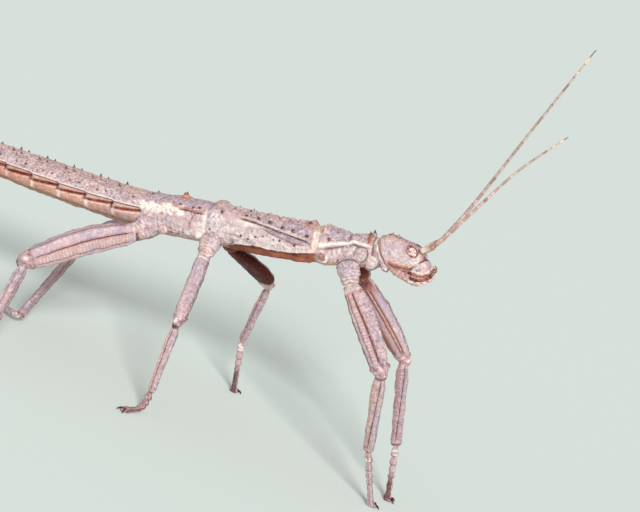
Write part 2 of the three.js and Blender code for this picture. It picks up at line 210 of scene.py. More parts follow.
# prothorax: its raised front rim, the groove across it, the pale edge of the back plate, the collar
lift += 0.16 * hump(s - 1.75, 0.35) * (1 - smooth(80, 120, t))
groove = hump(s - 5.35, 0.24) * (1 - smooth(40, 62, t))
lift -= 0.30 * groove
edge = keyed(s, (0.5, 72), (2.0, 69), (4.4, 56), (7.0, 73), (9.9, 85), (11.5, 88))
run = within(s, 1.4, 10.6, 0.5)
lift += (0.30 * ridge(edge, 0.32) - 0.36 * ridge(edge + 12, 0.24)) * run
paint(umber=0.55 * groove, cream=(1.05 + 0.15 * rag) * ridge(edge, 0.34) * run)
paint(umber=0.75 * ridge(edge + 11, 0.15) * within(s, 2.4, 9.6, 0.6), cream=0.8 * within(s, -1.0, 0.75, 0.2))
paint(umber=0.75 * hump(s - 1.0, 0.13) * within(t, 0, 110, 6))
collar = within(s, 10.75, 11.95, 0.25)
paint(cream=(0.60 + 0.2 * fleck + 0.22 * rag) * collar, blush=0.8 * collar,
      rust=0.65 * collar * (1 - smooth(26, 48, t)) * smooth(-0.4, 0.9, fleck),
      umber=0.65 * hump(s - 12.12, 0.13) * within(t, 0, 96, 6))
stripe = hump(s - 1.8, 0.34) * within(t, 16, 64, 8)
paint(rust=0.85 * stripe, umber=0.25 * stripe)
lift += 0.22 * hump(s - 10.1, 0.8) * ridge(14, 1.0)
stained = within(s + 0.3 * rag, 9.6, 11.2, 0.4) * (1 - smooth(48, 60, t))
paint(blush=0.75 * stained, cream=0.55 * stained * smooth(-0.5, 0.8, fleck),
      rust=0.50 * stained * smooth(0.0, 1.0, -fleck))
lift -= 0.07 * ridge(0, 0.16) * within(s, 1.8, 9.5, 0.4)
# its pleated flank, under the pale edge
flank = within(s, 1.6, 10.8, 0.6) * smooth(0, 6, t - edge - 9) * (1 - smooth(126, 140, t))
lift += 0.07 * np.cos(s * 5.6 + t * 0.07 + 1.2 * rag) * flank
paint(cream=0.42 * flank * smooth(-0.6, 0.9, fleck), umber=0.30 * flank * smooth(0.5, 1.6, -rag),
      rust=0.5 * hump(s - 9.3, 0.9) * within(t, 118, 132, 6),
      grain=within(s, 1.4, 10.8, 0.4) * (1 - smooth(60, 85, t)))

# mesothorax: the long dark crease on its side, and the lance-shaped plate below the front of it
span = within(s, 12.2, 31.2, 0.4)
crease = keyed(s, (11.6, 91), (13.2, 83), (14.9, 78), (17.8, 69), (20.0, 62), (22.3, 56), (25.2, 51),
               (29.0, 49), (31.7, 56))
shown = within(s, 12.4, 25.6, 0.6)
lift += 0.20 * ridge(crease - 5.5, 0.30) * within(s, 12.6, 30.0, 0.8)
lift -= 0.42 * ridge(crease + 1.5, 0.17) * shown
paint(umber=1.1 * ridge(crease + 0.5, 0.11) * shown,
      cream=0.5 * ridge(crease - 3.5, 0.18) * within(s, 13.5, 31.0, 1.5),
      rust=0.45 * ridge(crease - 2.0, 0.16) * within(s, 22.0, 31.0, 1.5))
lance_low = keyed(s, (12.0, 92), (13.1, 93), (15.6, 92), (17.1, 87), (18.8, 81), (20.8, 71.5), (23.0, 60))
lance = within(s, 12.8, 22.5, 0.7) * smooth(-1.5, 1.0, t - crease) * smooth(-1.0, 1.5, lance_low - t)
rim = within(s, 13.5, 21.5, 0.7)
lift += 0.10 * lance - 0.10 * ridge(lance_low, 0.14) * rim
paint(umber=0.18 * lance, grain=0.9 * lance)
flank = span * within(t, 0, 122, 5) * smooth(-1, 4, t - np.maximum(crease, lance_low))
paint(umber=0.5 * ridge(lance_low, 0.10) * rim, grain=0.55 * flank,
      cream=(0.22 * smooth(-0.8, 1.0, fleck) + 0.2 * ridge(96, 0.7)) * flank)
# the hem of the side plates, and the sunk red-brown belly strip under it, darkened further with painted shade
hem = keyed(s, (11.0, 109), (15.5, 118), (19.5, 120), (22.4, 116), (25.6, 124), (28.5, 150))
under = within(s, 11.2, 27.5, 0.8)
strip = under * smooth(0, 4, t - hem)
lift += 0.20 * ridge(hem - 3.5, 0.28) * under
lift -= 0.50 * under * smooth(-1.0, 4.0, t - hem) * (1 - smooth(140, 165, t))
paint(cream=0.5 * ridge(hem - 4.5, 0.22) * under, umber=ridge(hem + 1, 0.19) * under, rust=strip)
paint(cream=0.34 * ridge(hem + 15, 0.28) * under, umber=0.6 * ridge(hem + 9, 0.13) * under)
# painted shade over the belly strip, deeper towards the rear
paint(umber=(0.32 + 0.12 * rag + 0.3 * smooth(19.0, 26.0, s)) * strip)
# raised front corners, the keel along the back, and the hump at its rear end
lift += 0.32 * hump(s - 13.0, 0.6) * ridge(17, 0.7)
keel = ridge(0, 0.26) * within(s, 13.2, 30.0, 0.8)
lift += 0.17 * keel
paint(rust=0.8 * hump(s - 13.25, 0.75) * ridge(22, 0.9), cream=0.7 * keel * smooth(-1.0, 0.5, fleck),
      blush=0.34 * span * (1 - smooth(26, 44, t)))
paint(rust=0.22 * ridge(14, 0.5) * span * smooth(-0.2, 1.0, rag),
      cream=0.4 * ridge(10, 0.35) * span * smooth(-0.2, 1.0, fleck))
rump = hump(s - 30.3, 1.0) * ridge(9, 1.1)
lift += 0.45 * rump
paint(rust=0.55 * rump * smooth(-0.6, 0.9, fleck),
      umber=0.45 * hump(s - 31.3, 0.3) * ridge(9, 1.0) + 0.3 * hump(s - 29.3, 0.3) * rump,
      grain=span * (1 - smooth(-6, 2, t - crease)))
# pale shoulders over the middle legs, and the edges of the side plate
paint(cream=0.75 * hump(s - 30.6, 2.4) * within(t, 58, 84, 8) * smooth(-1.3, 0.5, fleck),
      umber=0.8 * hump(s - 22.9, 0.12) * within(t, 76, 84, 2))
suture = ridge(keyed(s, (22.0, 112), (26.0, 98), (29.0, 100)), 0.13) * within(s, 22, 28, 0.8)
lift -= 0.14 * suture
paint(cream=0.65 * hump(s - 24.0, 2.4) * ridge(63, 0.55), umber=0.45 * suture)

# metathorax: the joint in front, the crease carried on, and a seam down its side
span = within(s, 32.0, 44.0, 0.5)
lift -= 0.16 * hump(s - META, 0.30)
paint(cream=0.4 * hump(s - META, 0.6) * within(t, 46, 74, 8) * smooth(-1, 0.6, fleck),
      umber=0.3 * hump(s - META, 0.14) * within(t, 0, 60, 6))
crease = keyed(s, (31.5, 65), (32.4, 64), (36.1, 60), (40.0, 58))
shown = within(s, 32.2, 36.8, 0.5)
lift += 0.14 * ridge(crease - 5, 0.28) * within(s, 32.0, 40.0, 0.8)
lift -= 0.32 * ridge(crease, 0.16) * shown
seam = hump(s - keyed(t, (64, 33.9), (103, 34.6)), 0.13) * within(t, 66, 106, 3)
lift -= 0.16 * seam + 0.10 * hump(s - MEDIAN, 0.22) * within(t, 0, 46, 6)
paint(umber=1.05 * ridge(crease, 0.11) * shown, rust=0.8 * seam)
paint(umber=0.35 * seam, rust=0.7 * ridge(crease - 4, 0.22) * within(s, 32.2, 38.5, 0.8))
# wrinkles behind it, the pale blotch over the hind legs, and scattered brown spots
lift += 0.0385 * np.cos(t * 0.55 + s * 1.3 + rag) * within(s, 35.0, 43.5, 1.2) * within(t, 66, 128, 8)
rows = np.cos(s * 7.5 + 0.8 * rag) * within(s, 34.2, 43.0, 0.8) * within(t, 74, 118, 5)
lift += 0.04 * rows
blotch = within(s + 0.5 * rag, 36.2, 44.6, 0.7) * within(t + 4 * rag, 50, 86, 4)
paint(umber=0.16 * smooth(0.3, 1.0, -rows), grain=span * (1 - 0.5 * smooth(50, 64, t)),
      cream=0.86 * blotch * smooth(-2.4, -0.6, fleck) * (1 - 0.6 * within(t, 80, 92, 4)))
paint(umber=0.45 * within(s, 32.5, 33.5, 0.2) * within(t, 74, 84, 2) * smooth(-0.2, 0.6, fleck),
      cream=0.42 * within(s + 0.4 * rag, 31.4, 33.5, 0.5) * within(t + 5 * rag, 84, 124, 5))
rear = within(s, 33.0, 45.0, 1.5)
low = rear * within(t, 108, 128, 5)
paint(cream=0.55 * low * smooth(-0.6, 0.9, fleck), rust=0.40 * low * smooth(0.7, 1.7, -fleck))
paint(cream=0.20 * rear * within(t, 86, 110, 8) * smooth(-0.4, 1.2, fleck))
paint(cream=0.12 * smooth(0.3, 1.0, rows))
for at_s, at_t, half in ((37.5, 74, 0.36), (39.9, 82, 0.30), (40.5, 56, 0.22), (42.2, 76, 0.2)):
    paint(rust=0.75 * hump(np.hypot(s - at_s, (t - at_t) * MM_PER_DEGREE), half))
cone_foot = hump(np.hypot(s - 37.3, (t - 7) * MM_PER_DEGREE), 0.8)
lift += 0.22 * cone_foot
paint(rust=0.9 * cone_foot)

# abdomen: the rear rim of each back plate stands a little over the front of the next
fade = 1.0 - 0.5 * smooth(78.0, 86.0, s)
thick = smooth(54, 68, s)
for start, (length, _) in zip(JOINTS[4:], RINGS[4:]):
    f = (s - start) / length
    ring = within(f, 0.0, 1.0, 0.02)
    lift += 0.09 * hump((f - 0.95) * length, 0.30) * (1 - smooth(72, 84, t))
    lift -= 0.12 * hump((f - 0.03) * length, 0.30) * (1 - 0.7 * smooth(88, 106, t))
    paint(umber=0.15 * hump((f - 1.0) * length, 0.14) * (1 - smooth(60, 80, t)))
    # its pleated side: a pale hem, a tan fold between dark lines
    hem = 75.5 + 3.0 * f
    dark = keyed(f, (0.0, 86.5), (0.5, 91.5), (1.0, 96.0))
    fold = within(t, hem + 4.0, dark - 2.6, 1.3) * within(f, 0.03, 0.985, 0.02)
    lift += 0.15 * ridge(hem, 0.20) * ring
    lift += 0.15 * fold - 0.26 * within(t, hem + 2.5, dark + 2.5, 1.4) * ring
    paint(blush=0.8 * fold, cream=0.22 * fold, rust=(0.14 + 0.5 * smooth(62, 78, s)) * fold,
          umber=0.85 * ridge(hem + 3, 0.11) * ring * fade)
    shown = ring * fade * smooth(0.0, 0.2, 1.02 - f)
    paint(cream=0.72 * ridge(hem, 0.17) * ring,
          umber=(0.95 + 0.1 * rag) * ridge(dark, 0.12 + 0.08 * thick) * shown,
          rust=(0.95 + 0.1 * fleck) * ridge(dark, 0.30 + 0.12 * thick) * shown)
    notch = hump((f - 1.0) * length, 0.20) + hump(f * length, 0.42) * within(t, dark - 4, dark + 3, 1.5)
    paint(umber=0.95 * within(t, hem + 3, dark + 3, 1.5) * notch * fade)
    # then the belly plate
    belly = smooth(1.5, 4, t - dark) * ring
    paint(blush=(0.45 + 0.5 * smooth(47, 58, s)) * belly, umber=0.22 * smooth(112, 128, t) * ring,
          rust=(0.12 + 0.26 * smooth(60, 78, s) + 0.10 * rag) * belly,
          cream=0.7 * ridge(dark + 5.5, 0.14) * ring)
    paint(umber=0.35 * hump((f - 1.0) * length, 0.12) * within(t, 98, 140, 5),
          cream=0.75 * hump((f - 0.90) * length, 0.40) * within(t, 99, 122, 5))
    paint(umber=0.55 * ridge(130, 0.22) * ring)
    lift += 0.04 * ridge(107, 0.5) * within(f, 0.08, 0.92, 0.08)
    lift += 0.07 * (ridge(0, 0.20) + ridge(40, 0.30)) * within(f, 0.1, 0.95, 0.08)
rear = within(s, 44.0, 84.0, 1.0)
top = rear * (1 - smooth(66, 76, t))
paint(cream=0.7 * hump(s - 70.0, 1.1) * ridge(12, 1.0) * smooth(-1, 0.6, fleck),
      blush=0.30 * top * (1 - smooth(20, 60, t)) + 0.08 * top, grain=rear * (1 - smooth(70, 80, t)))
paint(cream=0.22 * top * smooth(0.3, 1.3, fleck), blush=0.8 * smooth(128, 142, t))
shells = [closed_shell("trunk", trunk_point(s, t, side, lift)[0], paint)]

# ----------------------------------------------------------------------------------------- head
# Domed capsule of the head, one hard case of cuticle with a pale rim where it meets the neck, an
# orange-brown stripe low on each cheek, and a dark seam where the face plate is let in.

HEAD_PITCH = math.radians(4.0)
HEAD_STEPS, HEAD_AROUND = 88, 90
HEAD_CORNER = 0.92
HEAD_MM_PER_DEGREE = 0.048
# mm ahead of the neck, half width, crown above the line, chin below it
HEAD_FORM = np.array([
    (-1.1, 1.9, 2.1, 1.2), (-0.6, 2.3, 2.95, 1.8), (0.4, 2.65, 3.6, 2.2), (1.4, 2.75, 3.72, 2.3),
    (2.8, 2.75, 3.68, 2.15), (4.75, 2.65, 3.5, 1.75), (6.2, 2.4, 3.0, 1.45), (7.4, 2.0, 2.5, 1.3),
    (8.0, 1.7, 2.05, 1.2), (8.5, 1.4, 1.45, 1.1), (9.15, 0.85, 0.75, 0.8)])
EYE_ALONG, EYE_OUT, EYE_UP = 5.55, 1.98, 2.46
EYE_HALF = (1.10, 0.56, 0.76)  # half its length, depth and height
EYE_TILT = math.radians(27.0)
head_ahead = np.array([math.cos(HEAD_PITCH), 0.0, math.sin(HEAD_PITCH)])
head_up = np.array([-math.sin(HEAD_PITCH), 0.0, math.cos(HEAD_PITCH)])
head_root = np.array([NECK[0], 0.0, NECK[1]])


def from_head(along, out, up):
    """A place given in the head's own axes, as a place in the insect's."""
    return head_root + sum(np.multiply.outer(np.asarray(size, float), axis)
                           for size, axis in ((along, head_ahead), (out, LEVEL), (up, head_up)))


def head_point(a, t, side, lift=0.0):
    """A point of the head's skin, t degrees from the crown."""
    half, top, under = (np.interp(a, HEAD_FORM[:, 0], HEAD_FORM[:, k]) for k in (1, 2, 3))
    angle = np.radians(t)
    rise, reach = rounded(np.cos(angle), HEAD_CORNER), rounded(np.sin(angle), HEAD_CORNER)
    height = (top + under) / 2 * rise + (top - under) / 2 + lift * np.cos(angle)
    return from_head(a, side * (half * reach + lift * np.sin(angle)), height)


# a is mm ahead of the neck, t degrees from the crown
a, t, side = paired_grid(np.linspace(HEAD_FORM[0, 0], HEAD_FORM[-1, 0], HEAD_STEPS),
                         np.arange(HEAD_AROUND) * 360.0 / HEAD_AROUND)
place = head_point(a, t, side)
fleck = mottle(place, 0.42, 14)
lift = 0.03 * mottle(place, 1.2, 11) + 0.022 * mottle(place, 0.45, 12)
paint = Paint(a.shape)
from_rim = a - keyed(t, (0, -0.95), (41, -0.8), (88, 0.2), (114, 1.4), (146, 2.3), (180, 2.5))
lift += 0.13 * hump(from_rim - 0.22, 0.28) - 0.30 * hump(from_rim + 0.28, 0.24)
paint(cream=0.65 * within(from_rim, -0.6, 0.12, 0.12) * (1 - 0.75 * smooth(92, 118, t)),
      rust=0.7 * hump(from_rim - 0.10, 0.16) + 0.3 * hump(from_rim + 0.3, 0.15),
      umber=0.8 * hump(from_rim + 0.30, 0.12) * within(t, 0, 120, 10))
# the stripe low on the cheek, brightest at its front end
below = (t - keyed(a, (2.2, 118), (2.85, 122), (4.45, 126), (6.05, 125), (6.6, 123))) * HEAD_MM_PER_DEGREE
cheek = within(a, 2.2, 6.2, 0.3)
beside = within(a, 1.6, 6.4, 0.5)
lift += 0.18 * hump(below + 0.1, 0.30) * cheek
paint(rust=(0.75 + 0.3 * smooth(4.5, 6.0, a)) * hump(below, 0.66) * cheek,
      umber=0.22 * hump(below - 0.1, 0.5) * within(a, 2.2, 5.0, 0.8),
      blush=0.7 * hump(below + 0.45, 0.42) * beside, cream=0.5 * hump(below + 0.62, 0.34) * beside)
paint(umber=0.45 * hump(below - 0.14, 0.18) * within(a, 2.4, 5.2, 0.4),
      rust=hump(below - 0.05, 0.42) * hump(a - 5.95, 0.45))
# the seam of the face plate
past = a - keyed(t, (0, 8.15), (30, 8.0), (60, 7.7), (80, 7.35), (119, 6.35), (140, 5.9))
seamed = 1 - smooth(136, 148, t)
face = smooth(-0.1, 0.35, past)
lift += 0.10 * face * within(t, 30, 120, 20) - 0.34 * hump(past, 0.16) * seamed
paint(umber=1.15 * hump(past, 0.12) * seamed, cream=0.30 * face * within(t, 105, 150, 8))
# fine upright lines on the cheeks, a coarser pinkish band over the eye, and the crown's seam
upright = np.cos(a * 13.0 + 0.8 * mottle(place, 0.8, 13)) * within(a, 0.6, 6.2, 0.5) * within(t, 34, 128, 10)
band = within(a, -0.3, 5.6, 0.6) * within(t, 14, 44, 7)
lift += 0.018 * upright + 0.06 * band - 0.10 * hump(t * HEAD_MM_PER_DEGREE, 0.14) * within(a, 0.2, 6.0, 0.5)
paint(cream=0.12 * smooth(0.2, 1.0, upright) + 0.28 * within(t, 62, 122, 14) * smooth(-0.5, 1, fleck),
      umber=0.05 * smooth(0.3, 1.0, -upright), blush=0.34 * band,
      rust=0.16 * band * smooth(-0.4, 1.0, fleck), grain=0.9 * (1 - smooth(40, 56, t)) * (a < 7.2))
paint(cream=0.60 * hump(past + 0.40, 0.26) * within(t, 70, 125, 8), grain=0.18,
      umber=0.18 * (1 - smooth(10, 24, t)) * within(a, -0.5, 7.0, 0.5))
# raised ring round the eye, and the pale patch that runs from it to the feeler's root
height = (place - head_root) @ head_up
ahead, above = a - EYE_ALONG, height - EYE_UP
reach = np.hypot((ahead * math.cos(EYE_TILT) - above * math.sin(EYE_TILT)) / EYE_HALF[0],
                 (ahead * math.sin(EYE_TILT) + above * math.cos(EYE_TILT)) / EYE_HALF[2])
near_side = within(t, 20, 80, 4)
pit = np.hypot(a - 7.75, height - 2.1)
lift += 0.20 * hump(reach - 1.14, 0.20) * near_side
lift += 0.16 * hump(np.hypot(a - 6.9, height - 2.75) - 0.8, 0.25) * within(t, 14, 70, 6)
paint(umber=0.70 * hump(reach - 1.00, 0.10) * near_side, rust=0.40 * hump(reach - 1.05, 0.14) * near_side,
      cream=0.4 * hump(reach - 1.5, 0.24) * within(a, 6.0, 7.2, 0.3) * within(t, 36, 70, 8))
paint(umber=0.9 * hump(pit, 0.24) * near_side, rust=0.6 * hump(pit, 0.50) * near_side)
paint(rust=0.6 * hump(np.hypot(a - 6.6, height - 3.2), 0.25) * within(t, 8, 60, 6))
shells.append(closed_shell("head_capsule", head_point(a, t, side, lift), paint))

# ------------------------------------------------------------------------ plates round the neck
# Small horny plates that bulge from the soft skin: on each side two at the throat, the swollen
# one that carries the front leg, and the round brown knob behind it. The same bulges swell round
# the roots of the middle and hind legs.

LOBE_AROUND, LOBE_UP = 24, 15
LOBE_CAP = 0.12  # radians left open at each pole, which one point shuts
SIDES = ((-1, "right"), (1, "left"))


def above_floor(places):
    places[..., 2] = np.maximum(places[..., 2], 0.0)
    return places


def lobe(name, centre, radii, turned=0.0, **marks):
    """A rounded bulge of skin. `turned` tips its long way down towards the head, in degrees."""
    polar = np.linspace(LOBE_CAP, math.pi - LOBE_CAP, LOBE_UP)[:, None]
    round_angle = np.arange(LOBE_AROUND)[None, :] * math.tau / LOBE_AROUND
    shape = np.stack([radii[0] * np.sin(polar) * np.cos(round_angle),
                      radii[1] * np.sin(polar) * np.sin(round_angle),
                      radii[2] * np.cos(polar) + 0 * round_angle], axis=-1)
    tip = math.radians(turned)
    tipped = np.array([[math.cos(tip), 0, math.sin(tip)], [0, 1, 0], [-math.sin(tip), 0, math.cos(tip)]])
    outward = shape / np.linalg.norm(shape, axis=-1, keepdims=True)
    place = shape @ tipped.T + np.array(centre)
    fleck = mottle(place, 0.40, 22)
    pleats = np.cos(shape[..., 2] * 8.5 + 1.3 * mottle(place, 0.9, 24))
    place += outward * (0.05 * mottle(place, 0.6, 21) + 0.02 * fleck + 0.025 * pleats)[..., None]
    paint = Paint(place.shape[:2])
    for mark, amount in marks.items():
        paint[mark] = paint[mark] + amount
    # pale grains and dark creases over it, and painted shade in a dark line where it meets the skin round it
    paint(cream=0.40 * smooth(0.2, 1.4, fleck) + 0.22 * smooth(0.2, 1.0, pleats),
          umber=0.30 * smooth(0.9, 1.8, -mottle(place, 0.55, 23)) + 0.22 * smooth(0.5, 1.0, -pleats))
    paint(umber=0.6 * (1 - smooth(0.25, 0.50, np.abs(outward[..., 1]))))
    return closed_shell(name, above_floor(place), paint)


# centre, radii, tip in degrees, and markings; each stands on both sides
LOBES = {
    "throat_plate": ((29.75, 1.75, 40.1), (1.15, 0.85, 1.6), 14.0, {"cream": 0.30}),
    "jowl_plate": ((31.95, 1.55, 40.35), (1.1, 0.55, 0.72), 32.0, {"grain": 0.4}),
    "shoulder_plate": ((27.5, 2.6, 40.7), (1.35, 0.8, 1.6), 12.0, {"cream": 0.15, "grain": 0.8}),
    "brown_knob": ((21.4, 2.98, 37.5), (0.78, 0.6, 0.56), 40.0, {"rust": 0.45, "umber": 0.25, "blush": 0.6}),
    "knob_seat": ((21.5, 2.35, 37.4), (1.25, 0.85, 1.15), 0.0, {"cream": 0.62, "blush": 0.3}),
    "front_coxa_root": ((25.4, 2.15, 39.75), (2.05, 1.1, 1.4), 8.0, {"blush": 0.15, "grain": 0.6}),
    "middle_coxa_root": ((2.0, 3.5, 31.7), (2.0, 1.05, 1.75), -25.0, {"cream": 0.1, "grain": 0.6}),
    "middle_coxa_wing": ((3.6, 3.3, 33.1), (2.3, 0.75, 0.95), 8.0, {"grain": 0.4}),
    "middle_knob": ((-0.9, 3.3, 31.5), (1.0, 0.8, 1.0), 0.0, {"cream": 0.6}),
    "hind_coxa_fore": ((-8.0, 3.5, 30.3), (1.35, 0.9, 1.75), -8.0, {"blush": 0.2, "grain": 0.5}),
    "hind_boss": ((-7.3, 3.5, 29.45), (1.2, 0.8, 0.8), 0.0, {"rust": 0.14, "blush": 0.5}),
    "hind_coxa_root": ((-11.6, 3.7, 28.6), (1.7, 1.2, 2.1), 25.0, {"grain": 0.6}),
}
for name, ((x, y, z), radii, turned, painted) in LOBES.items():
    for side, word in SIDES:
        shells.append(lobe(f"{name}_{word}", (x, side * y, z), radii, turned, **painted))

# ----------------------------------------------------------------------------------------- legs
# Six legs, each a hip piece with a ringed trochanter, a keeled and grooved femur, a grooved tibia
# and a foot of five short joints. They are hollow horny tubes with sharp keels along their edges.

# the joints of each leg in mm; how far its femur bows to its broad edge; and what sets it apart:
# a bend in its foot, how far the lips of its knee stand out, and how slim its tibia is
LEGS = {
    "front_right": dict(hip=(25.5, -3.0, 39.4), base=(28.2, -3.6, 35.3), knee=(40.3, -10.5, 25.8),
                        ankle=(42.6, -4.0, 9.8), foot=(46.4, -1.2, -0.2), bow=0.35),
    "front_left": dict(hip=(25.5, 3.0, 39.4), base=(28.2, 3.6, 35.3), knee=(39.3, 10.0, 23.9),
                       ankle=(45.2, 5.0, 10.0), foot=(47.6, 5.4, -0.2), bow=0.35),
    "middle_right": dict(hip=(1.6, -2.6, 32.6), base=(1.9, -4.6, 29.0), knee=(4.3, -12.5, 18.2),
                         ankle=(4.1, -11.5, 3.9), bend=(3.7, -12.2, 1.0), foot=(2.1, -15.3, 0.3), bow=0.1),
    "middle_left": dict(hip=(2.2, 2.6, 32.6), base=(3.4, 4.6, 29.8), knee=(9.6, 15.0, 23.4),
                        ankle=(7.8, 18.5, 10.4), foot=(9.5, 20.6, -0.2), bow=2.1, lips=0.8),
    "hind_right": dict(hip=(-9.6, -2.4, 30.2), base=(-11.6, -5.0, 27.2), knee=(-24.1, -17.0, 17.4),
                       ankle=(-22.9, -27.0, 1.7), foot=(-30.4, -32.0, 0.3), bow=0.8),
    "hind_left": dict(hip=(-9.6, 2.4, 30.2), base=(-11.6, 5.0, 27.2), knee=(-26.8, 12.7, 15.8),
                      ankle=(-28.4, -1.0, 1.7), foot=(-36.5, 3.0, 0.3), bow=0.8, slim=0.78),
}
# coxa, femur, tibia: half breadth and half thickness; broad: the way the broad edge lies
# grooves, inner: the long grooves on the femur's outer and inner face, each as its angle at the
#   start and at the end, and its share of the full depth; shin: the same for the tibia's
# lips: mm that the lips of the knee stand beyond its pivot; bumps: mm from them back to the
#   knee's side bumps, and their size; arch: how deep the arched crease over the hip is
# even: how little the femur tapers; cuff: how pale the ring at its root is; root: the share of
#   it that is wrinkled like the hip; grainy: how granular its face is
GIRTH = {
    "front": dict(coxa=(2.0, 1.7), femur=(2.05, 1.35), tibia=(1.15, 0.85), broad=(1, 0, 0),
                  grooves=((103, 88, 1.0), (142, 128, 0.55)), inner=((296, 312, 1.0), (272, 290, 0.8)),
                  shin=(58, 97, 1.0), lips=1.6, bumps=(2.2, 1.0), arch=0.8, even=0.0, cuff=0.45, root=0.10,
                  grainy=0.8),
    "middle": dict(coxa=(1.9, 1.7), femur=(1.28, 1.2), tibia=(0.80, 0.7), broad=(1, 0, 0),
                   grooves=((30, 26, 0.6), (152, 154, 0.7)), inner=((300, 300, 0.3), (225, 225, 0.3)),
                   shin=(112, 104, 0.8), lips=1.3, bumps=(2.3, 1.1), arch=0.5, even=0.6, cuff=0.4, root=0.10,
                   grainy=0.6),
    "hind": dict(coxa=(2.2, 1.9), femur=(2.5, 1.8), tibia=(1.4, 1.0), broad=(0, 0, 1),
                 grooves=((76, 80, 1.0), (122, 118, 0.6)), inner=((282, 280, 0.9), (222, 222, 0.5)),
                 shin=(58, 66, 1.0), lips=1.9, bumps=(2.7, 0.35), arch=0.3, even=0.0, cuff=0.1, root=0.05,
                 grainy=0.1),
}
# share of the length, and share of the girth there
COXA_FORM = ((0, 0.45), (0.05, 0.68), (0.12, 0.88), (0.28, 1.02), (0.5, 1.0), (0.62, 0.92), (0.75, 0.86),
             (0.9, 0.78), (1, 0.66))
FEMUR_FORM = ((0, 0.66), (0.08, 0.8), (0.3, 1.0), (0.6, 0.98), (0.77, 0.87), (0.84, 0.78), (0.88, 0.72),
              (0.92, 0.65), (0.955, 0.54), (0.98, 0.42), (1, 0.24))
STOUT_FORM = ((0, 1.1), (0.12, 1.45), (0.3, 1.8), (0.55, 1.95), (0.69, 1.6), (0.79, 1.15), (1, 1.05))
TIBIA_FORM = ((0, 0.5), (0.04, 0.6), (0.10, 0.82), (0.17, 0.98), (0.28, 1.0), (0.6, 0.88), (0.9, 0.86),
              (0.965, 0.84), (1, 0.5))
FOOT_SHARES = np.array([0.18, 0.15, 0.13, 0.11, 0.43])
FOOT_GIRTH = (0.70, 0.55)
COXA_STEPS, FEMUR_STEPS, TIBIA_STEPS, FOOT_STEPS = 46, 82, 62, 66
COXA_AROUND, FOOT_AROUND = 30, 16
LIMB_CORNER, FEMUR_CORNER = 0.85, 0.8
RIPPLE = 11.0  # radians of wrinkling to the mm
CURVE_STEPS = 40  # between two of the points that a curve goes through
COARSE_TURN, CLEAR_TURN = 12.0, 9.0  # degrees between plain points, and kept free beside a crisp line
CRISP_TURNS = (-6.0, -2.8, 0.0, 2.8, 6.0)
TOE_STEPS, TOE_LOOK = 30, 6  # steps of a foot's line, and how many from its end its way is read
PAD_AHEAD, PAD_HEIGHT, PAD_RADII = 0.30, 0.34, (0.62, 0.62, 0.36)


def smooth_line(points, steps):
    """Evenly spaced places on a smooth curve through the points."""
    points = np.array(points, float)
    ends = [2 * points[0] - points[1], *points, 2 * points[-1] - points[-2]]
    places = []
    for before, start, end, after in zip(ends, ends[1:], ends[2:], ends[3:]):
        for share in np.linspace(0, 1, CURVE_STEPS, endpoint=False):
            places.append(0.5 * (2 * start + (end - before) * share
                                 + (2 * before - 5 * start + 4 * end - after) * share ** 2
                                 + (3 * start - before - 3 * end + after) * share ** 3))
    places = np.array([*places, points[-1]])
    gone = np.concatenate([[0], np.cumsum(np.linalg.norm(np.diff(places, axis=0), axis=1))])
    even = np.linspace(0, gone[-1], steps)
    return np.stack([np.interp(even, gone, places[:, k]) for k in range(3)], axis=-1), gone[-1]


def tube(line, broad, side, halves, turn, corner=LIMB_CORNER):
    """A function that gives the rings of points round a line, for a lift of its skin in mm.

    broad is the way its broad edge lies, side the way its outer face looks (-1 is right), and
    halves are its half breadth and half thickness at each step."""
    along = np.gradient(line, axis=0)
    along /= np.linalg.norm(along, axis=1, keepdims=True)
    edge = np.array(broad, float) - (along @ np.array(broad, float))[:, None] * along
    edge /= np.linalg.norm(edge, axis=1, keepdims=True)
    face = np.cross(along, edge)
    face *= np.sign((face[:, 1] * side).sum())
    angle = np.radians(turn)

    def rings(lift=0.0):
        wide, thick = (((half[:, None] * rounded(way, corner) + lift * way)[..., None])
                       for half, way in zip(halves, (np.cos(angle), np.sin(angle))))
        return line[:, None, :] + wide * edge[:, None, :] + thick * face[:, None, :]

    return rings


def limb_grid(steps, turns, length):
    """Share of the length, mm along it, and angle round it, at each point of a limb; and no marks."""
    share, turn = np.meshgrid(np.linspace(0, 1, steps), turns, indexing="ij")
    return share, share * length, turn, Paint(share.shape)


def even_turns(around):
    return np.arange(around) * 360.0 / around


def between_turns(turn, at):
    return (turn - at + 180.0) % 360.0 - 180.0


def near(turn, at, half):
    """1 at an angle round a limb, fading over `half` degrees to each side."""
    return hump(between_turns(turn, at), half)


def turns_with_lines(*lines):
    """Angles round a limb, close together on both sides of each line that needs a crisp edge."""
    coarse = np.arange(0, 360, COARSE_TURN)
    for line in lines:
        coarse = coarse[np.abs(between_turns(coarse, line)) > CLEAR_TURN]
    fine = [line + step for line in lines for step in CRISP_TURNS]
    return np.sort(np.concatenate([coarse, fine]) % 360)


def ridges(turn, radius):
    """A function that is 1 on the line at an angle round a limb, fading `half` mm beside it."""
    return lambda at, half: hump(np.radians(between_turns(turn, at)) * radius, half)


def wrinkles(d, turn, place, seed):
    """Wrinkles across a limb, from -1 to 1, that sag on its outer face."""
    sag = 1.6 * np.cos(np.radians(between_turns(turn, 90)))
    return np.cos(d * RIPPLE + sag + 2.0 * mottle(place, 1.0, seed))


